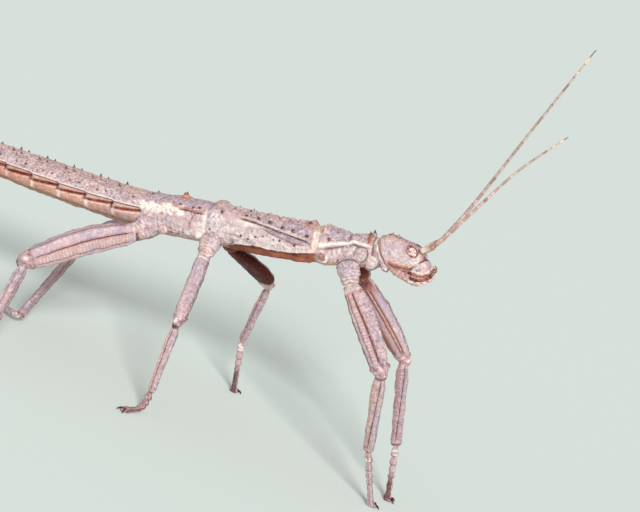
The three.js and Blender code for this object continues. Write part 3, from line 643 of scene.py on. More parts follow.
def coxa_shell(name, leg, girth, side):
    line, length = smooth_line([leg["hip"], leg["base"]], COXA_STEPS)
    f, d, turn, paint = limb_grid(COXA_STEPS, even_turns(COXA_AROUND), length)
    sizes = keyed(f[:, 0], *COXA_FORM)
    rings = tube(line, girth["broad"], side, [sizes * half for half in girth["coxa"]], turn)
    place = rings()
    fleck = mottle(place, 0.42, 34)
    lift = 0.05 * mottle(place, 0.8, 31) + 0.03 * mottle(place, 0.4, 32)
    arch = hump(d - 0.55 - 0.8 * (1 - np.cos(np.radians(between_turns(turn, 85)))), 0.18)
    arch = girth["arch"] * arch * within(between_turns(turn, 90), -80, 80, 14)
    ringed = smooth(0.42, 0.55, f)
    ripple = wrinkles(d, turn, place, 33)
    lift += 0.032 * ripple * ringed - 0.26 * arch
    # the inner face, turned to the body, is red-brown and darkened with painted shade, a little less at its
    # lower end
    inner = within(turn, 200, 340, 10)
    paint(umber=arch, cream=0.24 * ringed * smooth(0.1, 1.0, ripple) + 0.25 * smooth(0.2, 1.3, fleck),
          blush=0.5 * smooth(0.8, 0.95, f), rust=0.22 * ringed * smooth(0.3, 1.3, -fleck),
          grain=0.75 * (1 - ringed) + 0.2)
    paint(umber=0.24 * ringed * smooth(0.3, 1.0, -ripple), rust=inner)
    paint(umber=0.72 * inner * (1 - 0.5 * smooth(0.85, 1.0, f)))
    return closed_shell(name, rings(lift), paint)


def femur_shell(name, leg, girth, side):
    # the far middle leg turns its broad inner face outwards; that face is red-brown in painted shade
    shade_painted_leg = leg is LEGS["middle_left"]  # the one that turns its broad, dark inner face outwards
    start, end = np.array(leg["base"]), np.array(leg["knee"])
    crown = (start + end) / 2 + leg["bow"] * np.array(girth["broad"])
    end = end + leg.get("lips", girth["lips"]) * (end - crown) / np.linalg.norm(end - crown)
    line, length = smooth_line([start, crown, end], FEMUR_STEPS)
    grooves = [*girth["grooves"], *girth["inner"]]
    middles = [(at_start + at_end) / 2 for at_start, at_end, _ in grooves]
    f, d, flat, paint = limb_grid(FEMUR_STEPS, turns_with_lines(*middles), length)
    runs = [keyed(f, (0.1, at_start), (0.9, at_end)) for at_start, at_end, _ in grooves]
    turn = flat
    for run, middle in zip(runs, middles):
        turn = turn + (run - middle) * near(flat, middle, 22)
    sizes = keyed(f[:, 0], *FEMUR_FORM)
    sizes = sizes + (1 - sizes) * girth["even"] * (1 - smooth(0.70, 0.86, f[:, 0]))
    stout = keyed(f[:, 0], *STOUT_FORM) if shade_painted_leg else 1.0
    broad_half, thick_half = girth["femur"]
    slender = broad_half < 2
    halves = (sizes * broad_half * stout, sizes * thick_half)
    rings = tube(line, girth["broad"], side, halves, turn, FEMUR_CORNER)
    ridge = ridges(turn, (broad_half + thick_half) / 2)
    place = rings()
    fleck = mottle(place, 0.42, 44)
    lift = 0.05 * mottle(place, 1.3, 41) + 0.03 * mottle(place, 0.45, 42)
    body = within(f, girth["root"], 0.85, 0.03)
    for at in (36, 146, 214, 326):
        lift += 0.12 * ridge(at, 0.20) * body
        paint(cream=0.25 * ridge(at, 0.15) * body * smooth(-1, 1, fleck))
    for run, (_, _, depth) in zip(runs, grooves):
        lift -= 0.28 * depth * ridge(run, 0.17) * body
        paint(umber=depth * (1.15 - 0.45 * f) * ridge(run, 0.095) * body,
              rust=0.4 * depth * ridge(run, 0.22) * body)
    # the strip between the two outer grooves is combed across, and rosier than the rest
    if not slender:
        ribbed = smooth(2, 7, turn - runs[0]) * smooth(2, 7, runs[1] - turn) * body
        comb = np.cos(d * math.tau / 0.62 + 0.5 * mottle(place, 0.9, 43))
        lift += 0.032 * comb * ribbed
        paint(cream=0.20 * smooth(0.0, 1.0, comb) * ribbed, umber=0.16 * smooth(0.2, 1.0, -comb) * ribbed,
              blush=0.28 * ribbed)
    paint(umber=(0.75 * ridge(168, 0.15) + 0.70 * ridge(10, 0.13)) * body,
          cream=0.30 * within(turn, 150, 172, 5) * body * smooth(-0.8, 0.8, fleck))
    # the face turned to the body: an orange-brown and cream strip between dark red-brown grooves, and painted
    # shade over the rest of that face, darkest at its root
    inner = within(turn, 184, 352, 6) * within(f, 0.0, 0.88, 0.02)
    # on the far middle leg, painted shade covers nearly the whole femur except its pale knee
    if shade_painted_leg:
        inner = within(between_turns(turn, 270), -124, 118, 8) * within(f, 0.0, 0.67, 0.03)
        paint(cream=0.28 * smooth(0.68, 0.76, f), blush=0.45 * smooth(0.66, 0.74, f))
    # the slim middle femora: the whole inner face red-brown, darkened almost to umber as painted shade
    if slender:
        paint(rust=inner, umber=inner * (1.0 - 0.14 * near(turn, 290, 26) * (1 - smooth(0.4, 0.8, f))))
    else:
        # the strip keeps its own colours; the rear of the face (shaded) and its root are darkened with
        # painted shade
        strip = smooth(2, 6, turn - runs[3]) * smooth(2, 6, runs[2] - turn) * body
        shaded = within(turn, 184, 262, 8) * body
        paint(rust=0.50 * strip, blush=0.9 * strip, umber=0.80 * inner * (1 - smooth(0.0, 0.15, f)),
              cream=0.5 * ridge(runs[2] * 0.6 + runs[3] * 0.4, 0.16) * body)
        paint(rust=0.65 * shaded, umber=0.36 * shaded)
        paint(rust=0.6 * inner * (1 - smooth(0.04, 0.26, f)))
    # wrinkles carried on from the hip, and the cuff below them
    root = 1 - smooth(girth["root"] - 0.03, girth["root"] + 0.02, f)
    ripple = wrinkles(d, turn, place, 45)
    lift += 0.030 * ripple * root
    paint(umber=0.24 * smooth(0.3, 1.0, -ripple) * root, cream=0.28 * smooth(0.1, 1.0, ripple) * root,
          rust=0.55 * hump(f - 0.105, 0.022) * smooth(-0.8, 0.8, fleck))
    # the knee: two lips, side bumps and a dark pit
    knee = smooth(0.84, 0.89, f)
    bump_back, bump_size = girth["bumps"]
    from_bump = length - d - bump_back
    for at, height in ((0, 0.34), (180, 0.30), (62, 0.10), (118, 0.10), (270, 0.10)):
        lift += height * bump_size * hump(from_bump, 0.5) * near(turn, at, 22)
    lift += 0.05 * knee * mottle(place, 0.6, 46) - 0.10 * hump(f - 0.955, 0.03) * near(turn, 90, 14)
    patch = mottle(place, 0.7, 47)
    tip = 0.0 if shade_painted_leg else 0.5
    paint(cream=0.65 * knee * smooth(0.5, 1.4, patch), rust=knee * (0.12 + 0.25 * smooth(0.3, 1.4, fleck)),
          umber=knee * (0.45 * smooth(0.6, 1.6, -patch) + tip * smooth(0.95, 1.0, f)),
          grain=girth["grainy"] * (within(turn, 0, 92, 6) + 0.3) * (1 - inner))
    paint(cream=girth["cuff"] * hump(f - 0.07, 0.02) * within(turn, 10, 170, 10),
          umber=0.40 * hump(f - 0.875, 0.010) * within(turn, 20, 340, 10) * smooth(-1, 0.5, fleck),
          rust=0.8 * hump(from_bump, 0.45) * near(turn, 8, 22))
    paint(umber=0.8 * hump(from_bump, 0.22) * near(turn, 12, 12))
    return closed_shell(name, rings(lift), paint)


def tibia_shell(name, leg, girth, side):
    line, length = smooth_line([leg["knee"], leg["ankle"]], TIBIA_STEPS)
    at_start, at_end, deep = girth["shin"]
    middle = (at_start + at_end) / 2
    f, _, turn, paint = limb_grid(TIBIA_STEPS, turns_with_lines(middle, 360 - middle), length)
    swing = keyed(f, (0.05, at_start - middle), (0.95, at_end - middle))
    turn = turn + swing * (near(turn, middle, 40) - near(turn, 360 - middle, 40))
    sizes = keyed(f[:, 0], *TIBIA_FORM) * leg.get("slim", 1.0)
    rings = tube(line, girth["broad"], side, [sizes * half for half in girth["tibia"]], turn)
    ridge = ridges(turn, sum(girth["tibia"]) / 2)
    place = rings()
    fleck = mottle(place, 0.42, 54)
    lift = 0.045 * mottle(place, 1.2, 51) + 0.028 * mottle(place, 0.4, 52)
    body = within(f, 0.07, 0.95, 0.03)
    for at in (34, 148, 212, 326):
        lift += 0.08 * ridge(at, 0.15) * body
        paint(cream=0.30 * ridge(at, 0.12) * body * smooth(-1, 1, fleck))
    for at in (middle + swing, 360 - middle - swing):
        lift -= 0.20 * deep * ridge(at, 0.13) * body
        paint(umber=deep * (1.1 - 0.3 * f) * ridge(at, 0.075) * body)
    neck = 1 - smooth(0.05, 0.11, f)
    paint(umber=(0.60 * ridge(166, 0.12) + 0.55 * ridge(14, 0.11)) * body,
          blush=0.40 * within(turn, 80, 170, 8), grain=0.5,
          rust=0.14 * within(turn, 84, 160, 8) * smooth(-0.5, 1, fleck),
          cream=0.14 * near(turn, 100, 26) * body * smooth(-0.6, 1.0, fleck))
    paint(rust=0.40 * neck + 0.25 * within(turn, 200, 260, 8) * body, cream=0.2 * hump(f - 0.10, 0.02),
          umber=0.45 * neck * smooth(-0.6, 1.0, fleck))
    # painted shade on the inner face, turned to the body
    paint(umber=0.22 * within(turn, 200, 340, 8) * body,
          rust=0.35 * smooth(0.93, 0.97, f) * smooth(-0.5, 1, fleck))
    paint(umber=0.7 * hump(f - 0.985, 0.012) + 0.35 * hump(f - 0.93, 0.012))
    return closed_shell(name, rings(lift), paint)


def foot_line(leg, steps):
    bend = [leg["bend"]] if "bend" in leg else []
    return smooth_line([leg["ankle"], *bend, leg["foot"]], steps)


def foot_shell(name, leg, girth, side):
    line, length = foot_line(leg, FOOT_STEPS)
    f, _, turn, paint = limb_grid(FOOT_STEPS, even_turns(FOOT_AROUND), length)
    ends = np.cumsum(FOOT_SHARES)
    joint = np.clip(np.searchsorted(ends, f * 0.999), 0, 4)
    inside = (f - ends[joint] + FOOT_SHARES[joint]) / FOOT_SHARES[joint]
    last = joint == 4
    short = 0.74 + 0.26 * smooth(0.1, 0.85, inside) - 0.24 * smooth(0.92, 1.0, inside)
    long = 0.66 + 0.10 * smooth(0.05, 0.2, inside) + 0.36 * smooth(0.55, 0.95, inside)
    swell = np.where(last, long, short * (1 - 0.035 * joint))
    rings = tube(line, girth["broad"], side, [swell[:, 0] * half for half in FOOT_GIRTH], turn)
    place = rings()
    fleck = mottle(place, 0.35, 63)
    lift = 0.035 * mottle(place, 0.5, 61) - 0.08 * near(turn, 90, 16) * within(inside, 0.2, 0.9, 0.1)
    browned = 0.3 if "bend" in leg else 0.08
    paint(umber=0.8 * hump(inside - 0.97, 0.07) * ~last, rust=browned * 0.7 + 0.25 * smooth(0.95, 1.0, f),
          cream=0.6 * (joint < 1) * smooth(-0.5, 0.8, fleck) + 0.25 * smooth(0.2, 1.2, fleck))
    paint(umber=0.50 * near(turn, 90, 11) * within(inside, 0.2, 0.9, 0.1))
    paint(umber=browned + 0.45 * (within(turn, 0, 32, 8) + within(turn, 148, 180, 8)))
    # painted shade on the inner face of the foot, growing towards its end
    paint(umber=0.75 * within(turn, 210, 330, 12) * smooth(0.3, 0.7, f))
    return closed_shell(name, above_floor(rings(lift)), paint)


def toe(leg):
    """The tip of a foot's line, and the level way it points."""
    line, _ = foot_line(leg, TOE_STEPS)
    ahead = (line[-1] - line[-TOE_LOOK]) * np.array([1.0, 1.0, 0.0])
    return line[-1], ahead / np.linalg.norm(ahead)


for name, leg in LEGS.items():
    girth = GIRTH[name.split("_")[0]]
    side = -1 if name.endswith("right") else 1
    for word, maker in (("coxa", coxa_shell), ("femur", femur_shell), ("tibia", tibia_shell),
                        ("tarsus", foot_shell)):
        shells.append(maker(f"{word}_{name}", leg, girth, side))
    # the pad at the end of the foot
    tip, ahead = toe(leg)
    x, y, _ = tip + PAD_AHEAD * ahead
    shells.append(lobe(f"pad_{name}", (x, y, PAD_HEIGHT), PAD_RADII, rust=0.35, umber=0.3))

# ----------------------------------------------------------------------------------------- skin
# All the shells above are fused into the one skin of the insect, and the lines where they meet
# are eased, as soft skin fills them. Its finish is a dry, finely granular cuticle, lavender grey
# with a pink cast, with cream, orange-brown and dark red-brown markings.

EASE_ROUNDS, ZONE_ROUNDS = 3, 2
WHOLE_SKIN = 0.99  # a point below this was made by a cut


def fused(name, parts):
    """One closed mesh from overlapping closed shells."""
    first, *others = parts
    for other in others:
        joiner = first.modifiers.new(other.name, "BOOLEAN")
        joiner.operation = "UNION"
        joiner.solver = "MANIFOLD"
        joiner.object = other
    graph = bpy.context.evaluated_depsgraph_get()
    mesh = bpy.data.meshes.new_from_object(first.evaluated_get(graph))
    mesh.name = name
    for part in parts:
        bpy.data.objects.remove(part)
    return bpy.data.objects.new(name, mesh)


def ease_junctions(mesh):
    """Give each cut point the marks of its neighbours, and relax the skin along the cuts."""
    shape = bmesh.new()
    shape.from_mesh(mesh)
    shape.verts.ensure_lookup_table()
    *layers, whole = [shape.verts.layers.float[name] for name in MARKS]
    cut = [vert for vert in shape.verts if vert[whole] < WHOLE_SKIN]
    for _ in range(EASE_ROUNDS):
        for vert in cut:
            beside = [edge.other_vert(vert) for edge in vert.link_edges]
            sound = [other for other in beside if other[whole] > WHOLE_SKIN] or beside
            for layer in layers:
                vert[layer] = sum(other[layer] for other in sound) / len(sound)
    zone = set(cut)
    for _ in range(ZONE_ROUNDS):
        zone |= {edge.other_vert(vert) for vert in zone for edge in vert.link_edges}
    for _ in range(EASE_ROUNDS):
        bmesh.ops.smooth_vert(shape, verts=list(zone), factor=0.5, use_axis_x=True, use_axis_y=True,
                              use_axis_z=True)
    for vert in shape.verts:
        vert.co.z = max(vert.co.z, 0.0)
    bmesh.ops.triangulate(shape, faces=[face for face in shape.faces if len(face.verts) > 4])
    shape.to_mesh(mesh)
    shape.free()


class Weave:
    """A node tree, with short ways to add nodes to it."""

    def __init__(self, tree):
        self.tree = tree

    def add(self, kind, values=None, **settings):
        made = self.tree.nodes.new(kind)
        for setting, value in settings.items():
            setattr(made, setting, value)
        for socket, value in (values or {}).items():
            self.set(made.inputs[socket], value)
        return made

    def set(self, socket, value):
        if isinstance(value, bpy.types.NodeSocket):
            self.tree.links.new(value, socket)
        else:
            socket.default_value = value

    def reckon(self, operation, first, second=0.0, clamp=False):
        made = self.add("ShaderNodeMath", {0: first, 1: second}, operation=operation, use_clamp=clamp)
        return made.outputs[0]

    def times(self, first, second):
        return self.reckon("MULTIPLY", first, second)

    def plus(self, first, second):
        return self.reckon("ADD", first, second)

    def mix(self, share, first, second):
        return self.add("ShaderNodeMix", {0: share, 6: first, 7: second}, data_type="RGBA").outputs[2]

    def stepped(self, value, low, high, start=0.0, end=1.0):
        """From start to end, as the value goes from low to high."""
        return self.add("ShaderNodeMapRange", {0: value, 1: low, 2: high, 3: start, 4: end}).outputs[0]

    def mark(self, name):
        return self.add("ShaderNodeAttribute", attribute_name=name).outputs["Fac"]

    def place(self):
        return self.add("ShaderNodeTexCoord").outputs["Object"]


def new_group(name, kind, inputs, outputs):
    """A node group: its inputs are (name, kind, default) and its outputs (name, kind)."""
    tree = bpy.data.node_groups.new(name, kind)
    for socket, sort, default in inputs:
        made = tree.interface.new_socket(socket, in_out="INPUT", socket_type=f"NodeSocket{sort}")
        if default is not None:
            made.default_value = default
    for socket, sort in outputs:
        tree.interface.new_socket(socket, in_out="OUTPUT", socket_type=f"NodeSocket{sort}")
    return Weave(tree), tree.nodes.new("NodeGroupInput").outputs


def new_material(name):
    material = bpy.data.materials.new(name)
    material.use_nodes = True
    return material, Weave(material.node_tree), material.node_tree.nodes["Principled BSDF"].inputs


def finish_shader(weave, shader, colour, roughness, bump=None):
    """Join up a shader. bump is its height, strength and depth in metres."""
    weave.set(shader["Base Color"], colour)
    weave.set(shader["Roughness"], roughness)
    if bump:
        height, strength, depth = bump
        relief = weave.add("ShaderNodeBump", {"Height": height, "Strength": strength, "Distance": depth})
        weave.set(shader["Normal"], relief.outputs[0])


def tone(red, green, blue):
    """A colour given in the 0 to 255 steps of a colour chart."""
    linear = [step / 12.92 if step <= 0.04045 else ((step + 0.055) / 1.055) ** 2.4
              for step in (red / 255, green / 255, blue / 255)]
    return (*linear, 1.0)


def grain_group():
    """Granular cuticle: pale grains, dark pores and creases, wide patches, and the height of it all."""
    weave, entry = new_group(
        "cuticle grain", "ShaderNodeTree",
        [("Grain per metre", "Float", 3000.0), ("Coarseness", "Float", 1.0)],
        [(name, "Float") for name in ("Pale", "Dark", "Patch", "Height")])
    place = weave.place()

    def clouds(share, detail):
        return weave.add("ShaderNodeTexNoise", {"Vector": place, "Scale": weave.times(entry[0], share),
                                                "Detail": detail, "Roughness": 0.62}).outputs["Fac"]

    cells = weave.add("ShaderNodeTexVoronoi", {"Vector": place, "Scale": entry[0]}, feature="F1")
    grains = weave.reckon("SUBTRACT", 0.62, cells.outputs["Distance"], clamp=True)
    broad, middling, dust = clouds(0.28, 3.0), clouds(0.62, 3.0), clouds(1.25, 2.0)
    pale = weave.reckon("MAXIMUM", weave.stepped(dust, 0.55, 0.68), weave.stepped(middling, 0.55, 0.66))
    winding = weave.reckon("ABSOLUTE", weave.reckon("SUBTRACT", clouds(0.24, 4.0), 0.5))
    crease = weave.stepped(winding, 0.030, 0.004)
    dark = weave.reckon("MAXIMUM", weave.stepped(middling, 0.45, 0.36), weave.times(crease, 0.6))
    height = weave.plus(weave.plus(weave.times(grains, entry[1]), broad), middling)
    height = weave.reckon("SUBTRACT", height, weave.times(crease, 0.5))
    patch = weave.stepped(clouds(0.07, 3.0), 0.38, 0.62)
    for socket, value in zip(weave.tree.nodes.new("NodeGroupOutput").inputs, (pale, dark, patch, height)):
        weave.set(socket, value)
    return weave.tree


def grain_of(weave, per_metre):
    """The outputs of the cuticle's grain: pale, dark, patch and height."""
    return weave.add("ShaderNodeGroup", {"Grain per metre": per_metre}, node_tree=GRAIN_TREE).outputs


def ragged_mark(weave, name, grain, bite):
    """A marking read from the skin, its edge broken up by the grain."""
    mark = weave.mark(name)
    wander = weave.times(weave.reckon("SUBTRACT", grain, 0.5), bite)
    return weave.reckon("ADD", mark, weave.times(wander, mark), clamp=True)


LAVENDER, PINK_GREY = tone(186, 165, 178), tone(206, 176, 177)
DUSK, FLECK, TAN = tone(120, 82, 84), tone(246, 232, 232), tone(216, 164, 136)
CREAM, RUST, UMBER = tone(255, 243, 230), tone(184, 104, 80), tone(74, 20, 12)
GRAIN_TREE = grain_group()


def cuticle_material(name):
    material, weave, shader = new_material(name)
    pale, dark, patch, height = grain_of(weave, 3000.0)
    grainy = weave.mark("grain")
    colour = weave.mix(patch, LAVENDER, PINK_GREY)
    colour = weave.mix(ragged_mark(weave, "blush", pale, 0.3), colour, TAN)
    worn = weave.plus(0.16, weave.times(grainy, 0.40))
    flecked = weave.plus(0.18, weave.times(grainy, 0.34))
    colour = weave.mix(weave.times(dark, worn), colour, DUSK)
    colour = weave.mix(weave.times(pale, flecked), colour, FLECK)
    for mark, grain, bite, tint in (("cream", dark, -0.55, CREAM), ("rust", pale, -0.5, RUST),
                                    ("umber", pale, -0.25, UMBER)):
        colour = weave.mix(ragged_mark(weave, mark, grain, bite), colour, tint)
    relief = weave.times(height, weave.plus(0.55, weave.times(grainy, 0.6)))
    finish_shader(weave, shader, colour, weave.stepped(patch, 0.0, 1.0, 0.42, 0.56), (relief, 0.8, 0.00016))
    shader["Specular IOR Level"].default_value = 0.2
    return material


def finish_piece(piece, material, nodes=()):
    """Colour a finished piece, set it on the body, and hide the parts of the model that it takes the place
    of.
    """
    if piece.name not in bpy.context.scene.collection.objects:
        bpy.context.scene.collection.objects.link(piece)
    piece.data.materials.clear()
    piece.data.materials.append(material)
    piece.data.polygons.foreach_set("use_smooth", [True] * len(piece.data.polygons))
    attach(piece, "root")
    if nodes:
        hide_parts(*nodes)


FLESH = [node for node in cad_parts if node.split("_")[0] in
         ("head", "prothorax", "mesothorax", "metathorax", "abdomen", "coxa", "femur", "tibia", "tarsus")]
skin = fused("skin", shells)
ease_junctions(skin.data)
cuticle = cuticle_material("granular cuticle")
finish_piece(skin, cuticle, FLESH)

# ------------------------------------------------------------------------------ spines and cones
# Short thorns and blunt cones of the same cuticle, dark brown at the tip and orange-brown at the
# foot. They stand in rows: along the sides of the thorax, and in pairs on each ring of the abdomen.

# mm from the neck, degrees from the crest, height and foot radius; each stands on both sides
THORNS = [
    (8.8, 65, 0.62, 0.38), (10.2, 22, 0.40, 0.34), (12.9, 70, 0.52, 0.50), (15.6, 59, 0.52, 0.48),
    (17.7, 54.5, 0.50, 0.45), (20.2, 45, 0.62, 0.44), (22.4, 40, 0.70, 0.42), (24.65, 38.5, 0.56, 0.38),
    (29.1, 46, 0.50, 0.42), (21.4, 8, 0.34, 0.26), (24.6, 9, 0.42, 0.26), (27.4, 16, 0.32, 0.24),
    (17.0, 12, 0.30, 0.24), (19.0, 18, 0.26, 0.22), (15.4, 20, 0.26, 0.22), (33.3, 46, 0.50, 0.42),
    (34.4, 49, 0.42, 0.36), (37.0, 44, 0.40, 0.34), (43.3, 15, 0.42, 0.32), (46.2, 50, 0.42, 0.32),
    (40.6, 30, 0.26, 0.22), (2.6, 40, 0.24, 0.2), (7.6, 30, 0.24, 0.2),
]
for start, (length, _) in zip(JOINTS[5:11], RINGS[5:11]):
    THORNS += [(start + 0.30, 18, 0.62, 0.40), (start + 0.76 * length, 18, 0.44, 0.33),
               (start + 0.32 * length, 57, 0.42, 0.30), (start + 0.64 * length, 60, 0.36, 0.28),
               (start + 0.86 * length, 31, 0.28, 0.24), (start + 0.45 * length, 30, 0.24, 0.20)]
# the same for the blunt, broad-footed cones over the neck and on the corners of the thorax, and
# for the tall orange pair behind, which stand close together on the crest
CONES = [(1.75, 20, 0.85, 0.50), (12.95, 22, 0.50, 0.58), (10.4, 12, 0.30, 0.46)]
TALL_CONES = [(37.3, 4.5, 0.95, 0.62)]
# small knobs on the head: mm ahead of the neck, degrees from the crown, height and foot radius
CROWN_KNOBS = [(0.75, 12, 0.24, 0.30), (1.85, 15, 0.22, 0.28)]
# blunt dark pits with a brown ring, low on the sides of the thorax
STUDS = [(along, degrees, 0.10, 0.30) for along, degrees in
         ((24.8, 95), (23.4, 99), (22.1, 91), (20.8, 88), (18.8, 90), (17.7, 90), (14.9, 95), (37.9, 130),
          (36.6, 129), (35.7, 120), (29.1, 96), (30.6, 99))]
SKIN_LIFT, SUNK = 0.06, 0.14  # mm from the plain form out to the skin, and from there in to a thorn's foot


def finish_growth(weave, entry, instances):
    """End a Geometry Nodes tree: make its instances real, and give them the finish."""
    real = weave.add("GeometryNodeRealizeInstances", {"Geometry": instances.outputs[0]})
    done = weave.add("GeometryNodeSetMaterial", {"Geometry": real.outputs[0], "Material": entry["Finish"]})
    weave.set(weave.tree.nodes.new("NodeGroupOutput").inputs[0], done.outputs[0])
    return weave.tree


def thorn_tree():
    """Geometry Nodes that stand a thorn on each point, as tall, wide and tipped as it says."""
    weave, entry = new_group(
        "thorns", "GeometryNodeTree",
        [("Geometry", "Geometry", None), ("Sides", "Int", 9), ("Rings", "Int", 5),
         ("Hollow flank", "Float", 0.55), ("Finish", "Material", None)], [("Geometry", "Geometry")])
    blank = weave.add("GeometryNodeMeshCone", {
        "Vertices": entry["Sides"], "Side Segments": entry["Rings"], "Fill Segments": 1, "Radius Top": 0.05,
        "Radius Bottom": 1.0, "Depth": 1.0}, fill_type="TRIANGLE_FAN")
    place = weave.add("GeometryNodeInputPosition").outputs[0]
    height = weave.add("ShaderNodeSeparateXYZ", {0: place}).outputs["Z"]
    kept = weave.reckon("SUBTRACT", 1.0, weave.times(height, entry["Hollow flank"]))
    pinch = weave.add("ShaderNodeCombineXYZ", {"X": kept, "Y": kept, "Z": 1.0}).outputs[0]
    drawn = weave.add("ShaderNodeVectorMath", {0: place, 1: pinch}, operation="MULTIPLY").outputs[0]
    shaped = weave.add("GeometryNodeSetPosition", {"Geometry": blank.outputs["Mesh"], "Position": drawn})
    marked = weave.add("GeometryNodeStoreNamedAttribute", {
        "Geometry": shaped.outputs[0], "Name": "rise", "Value": height}, data_type="FLOAT", domain="POINT")

    def read(name, kind):
        return weave.add("GeometryNodeInputNamedAttribute", {"Name": name}, data_type=kind).outputs[0]

    wide = read("wide", "FLOAT")
    size = weave.add("ShaderNodeCombineXYZ", {"X": wide, "Y": wide, "Z": read("tall", "FLOAT")}).outputs[0]
    lean = weave.add("FunctionNodeAlignRotationToVector", {"Vector": read("lean", "FLOAT_VECTOR")}, axis="Z")
    return finish_growth(weave, entry, weave.add("GeometryNodeInstanceOnPoints", {
        "Points": entry["Geometry"], "Instance": marked.outputs[0], "Rotation": lean.outputs[0],
        "Scale": size}))


def point_cloud(name, places, **facts):
    """A mesh of bare points, with a number or a direction on each, for Geometry Nodes to use."""
    mesh = bpy.data.meshes.new(name)
    mesh.from_pydata([tuple((place + STAND) * MM) for place in places], [], [])
    for fact, values in facts.items():
        kind = ("FLOAT_VECTOR", "vector") if np.ndim(values) == 2 else ("FLOAT", "value")
        set_values(mesh, fact, values, *kind)
    return placed(name, mesh)


def grown(name, carrier, tree, **inputs):
    """Run a Geometry Nodes tree on an object, and keep the result as a plain mesh."""
    grower = carrier.modifiers.new(name, "NODES")
    grower.node_group = tree
    sockets = {item.name: item.identifier for item in tree.interface.items_tree if item.in_out == "INPUT"}
    for socket, value in inputs.items():
        grower[sockets[socket.replace("_", " ")]] = value
    graph = bpy.context.evaluated_depsgraph_get()
    mesh = bpy.data.meshes.new_from_object(carrier.evaluated_get(graph))
    carrier.modifiers.remove(grower)
    mesh.name = name
    return bpy.data.objects.new(name, mesh)


def thorn_material(name, foot, tip, pale_share):
    """Cuticle that darkens from the foot of a thorn to its tip, starting pale_share of the way up."""
    material, weave, shader = new_material(name)
    pale, _, patch, height = grain_of(weave, 5000.0)
    wavy = weave.plus(weave.mark("rise"), weave.times(patch, 0.25))
    colour = weave.mix(weave.stepped(wavy, pale_share + 0.15, pale_share + 0.55), foot, tip)
    colour = weave.mix(weave.times(pale, 0.25), colour, CREAM)
    finish_shader(weave, shader, colour, weave.stepped(patch, 0.0, 1.0, 0.35, 0.5), (height, 0.4, 0.00008))
    return material


THORN_TREE = thorn_tree()


def stand_on(name, rows, finish, hollow, backward, surface=trunk_point):
    """One piece of thorns that stand on the trunk, or on another surface, in mirrored pairs."""
    places, leans = [], []
    for along, degrees, _, _ in rows:
        for side, _ in SIDES:
            place, outward = surface(along, float(degrees), float(side), SKIN_LIFT)
            lean = outward + backward * np.array([-1.0, 0.0, 0.0])
            places.append(place - SUNK * outward)
            leans.append(lean / np.linalg.norm(lean))
    talls = np.repeat([(tall + SUNK) * MM for _, _, tall, _ in rows], 2)
    wides = np.repeat([wide * MM for _, _, _, wide in rows], 2)
    cloud = point_cloud(f"{name}_points", places, lean=leans, tall=talls, wide=wides)
    piece = grown(name, cloud, THORN_TREE, Finish=finish, Hollow_flank=hollow)
    bpy.data.objects.remove(cloud)
    finish_piece(piece, finish)


def crown_point(a, t, side, lift):
    place = head_point(a, t, side, lift)
    return place, head_point(a, t, side, lift + 1.0) - place


stand_on("thorns", THORNS,
         thorn_material("thorn cuticle", tone(172, 112, 102), tone(74, 34, 32), 0.0), 0.45, 0.25)
cone_finish = thorn_material("cone cuticle", tone(166, 118, 108), tone(66, 40, 38), 0.05)
stand_on("cones", CONES, cone_finish, 0.20, 0.12)
stand_on("tall_cones", TALL_CONES,
         thorn_material("orange cone cuticle", tone(214, 140, 92), tone(110, 54, 36), 0.35), -0.10, 0.05)
stand_on("studs", STUDS, thorn_material("stud cuticle", tone(150, 84, 76), tone(92, 40, 38), 0.0), -0.5, 0.0)
stand_on("crown_knobs", CROWN_KNOBS, cone_finish, 0.05, 0.1, crown_point)

# ------------------------------------------------------------------------------------- granules
# Pin-point grains of cuticle that stand on the back, the side plates and the leading faces of the
# legs, thickest where the skin is marked as grainy, each a low dome half sunk in it.

def granule_tree():
    weave, entry = new_group(
        "granules", "GeometryNodeTree",
        [("Geometry", "Geometry", None), ("Per square metre", "Float", 2.0e6), ("Smallest", "Float", 0.00005),
         ("Largest", "Float", 0.00012), ("Seed", "Int", 4), ("Finish", "Material", None)],
        [("Geometry", "Geometry")])
    grain = weave.add("GeometryNodeInputNamedAttribute", {"Name": "grain"}, data_type="FLOAT").outputs[0]
    strewn = weave.add("GeometryNodeDistributePointsOnFaces", {
        "Mesh": entry["Geometry"], "Density": weave.times(entry["Per square metre"], grain),
        "Seed": entry["Seed"]}).outputs
    dome = weave.add("GeometryNodeMeshIcoSphere", {"Radius": 1.0, "Subdivisions": 1})
    size = weave.add("FunctionNodeRandomValue", {
        2: entry["Smallest"], 3: entry["Largest"], "Seed": entry["Seed"]}, data_type="FLOAT").outputs[1]
    return finish_growth(weave, entry, weave.add("GeometryNodeInstanceOnPoints", {
        "Points": strewn["Points"], "Instance": dome.outputs["Mesh"], "Rotation": strewn["Rotation"],
        "Scale": size}))


granule_finish, weave, shader = new_material("pale granules")
pale, dark, patch, _ = grain_of(weave, 2600.0)
colour = weave.mix(patch, tone(206, 180, 182), tone(246, 226, 212))
colour = weave.mix(weave.times(dark, 0.7), colour, tone(140, 96, 90))
finish_shader(weave, shader, colour, weave.stepped(pale, 0.0, 1.0, 0.38, 0.55))
finish_piece(grown("granules", skin, granule_tree(), Finish=granule_finish), granule_finish)

# ----------------------------------------------------------------------------------------- eyes
# Oval compound eyes, glossy and pale pink with brown flecks, each set in the head behind the root
# of its feeler. A low dome of many facets, with a dark rim.

EYE_BANDS, EYE_AROUND = 26, 40
EYE_CAP = 0.04  # radians left open at each pole, which one point shuts
EYE_LEAN = 0.42  # how far it leans in at the top


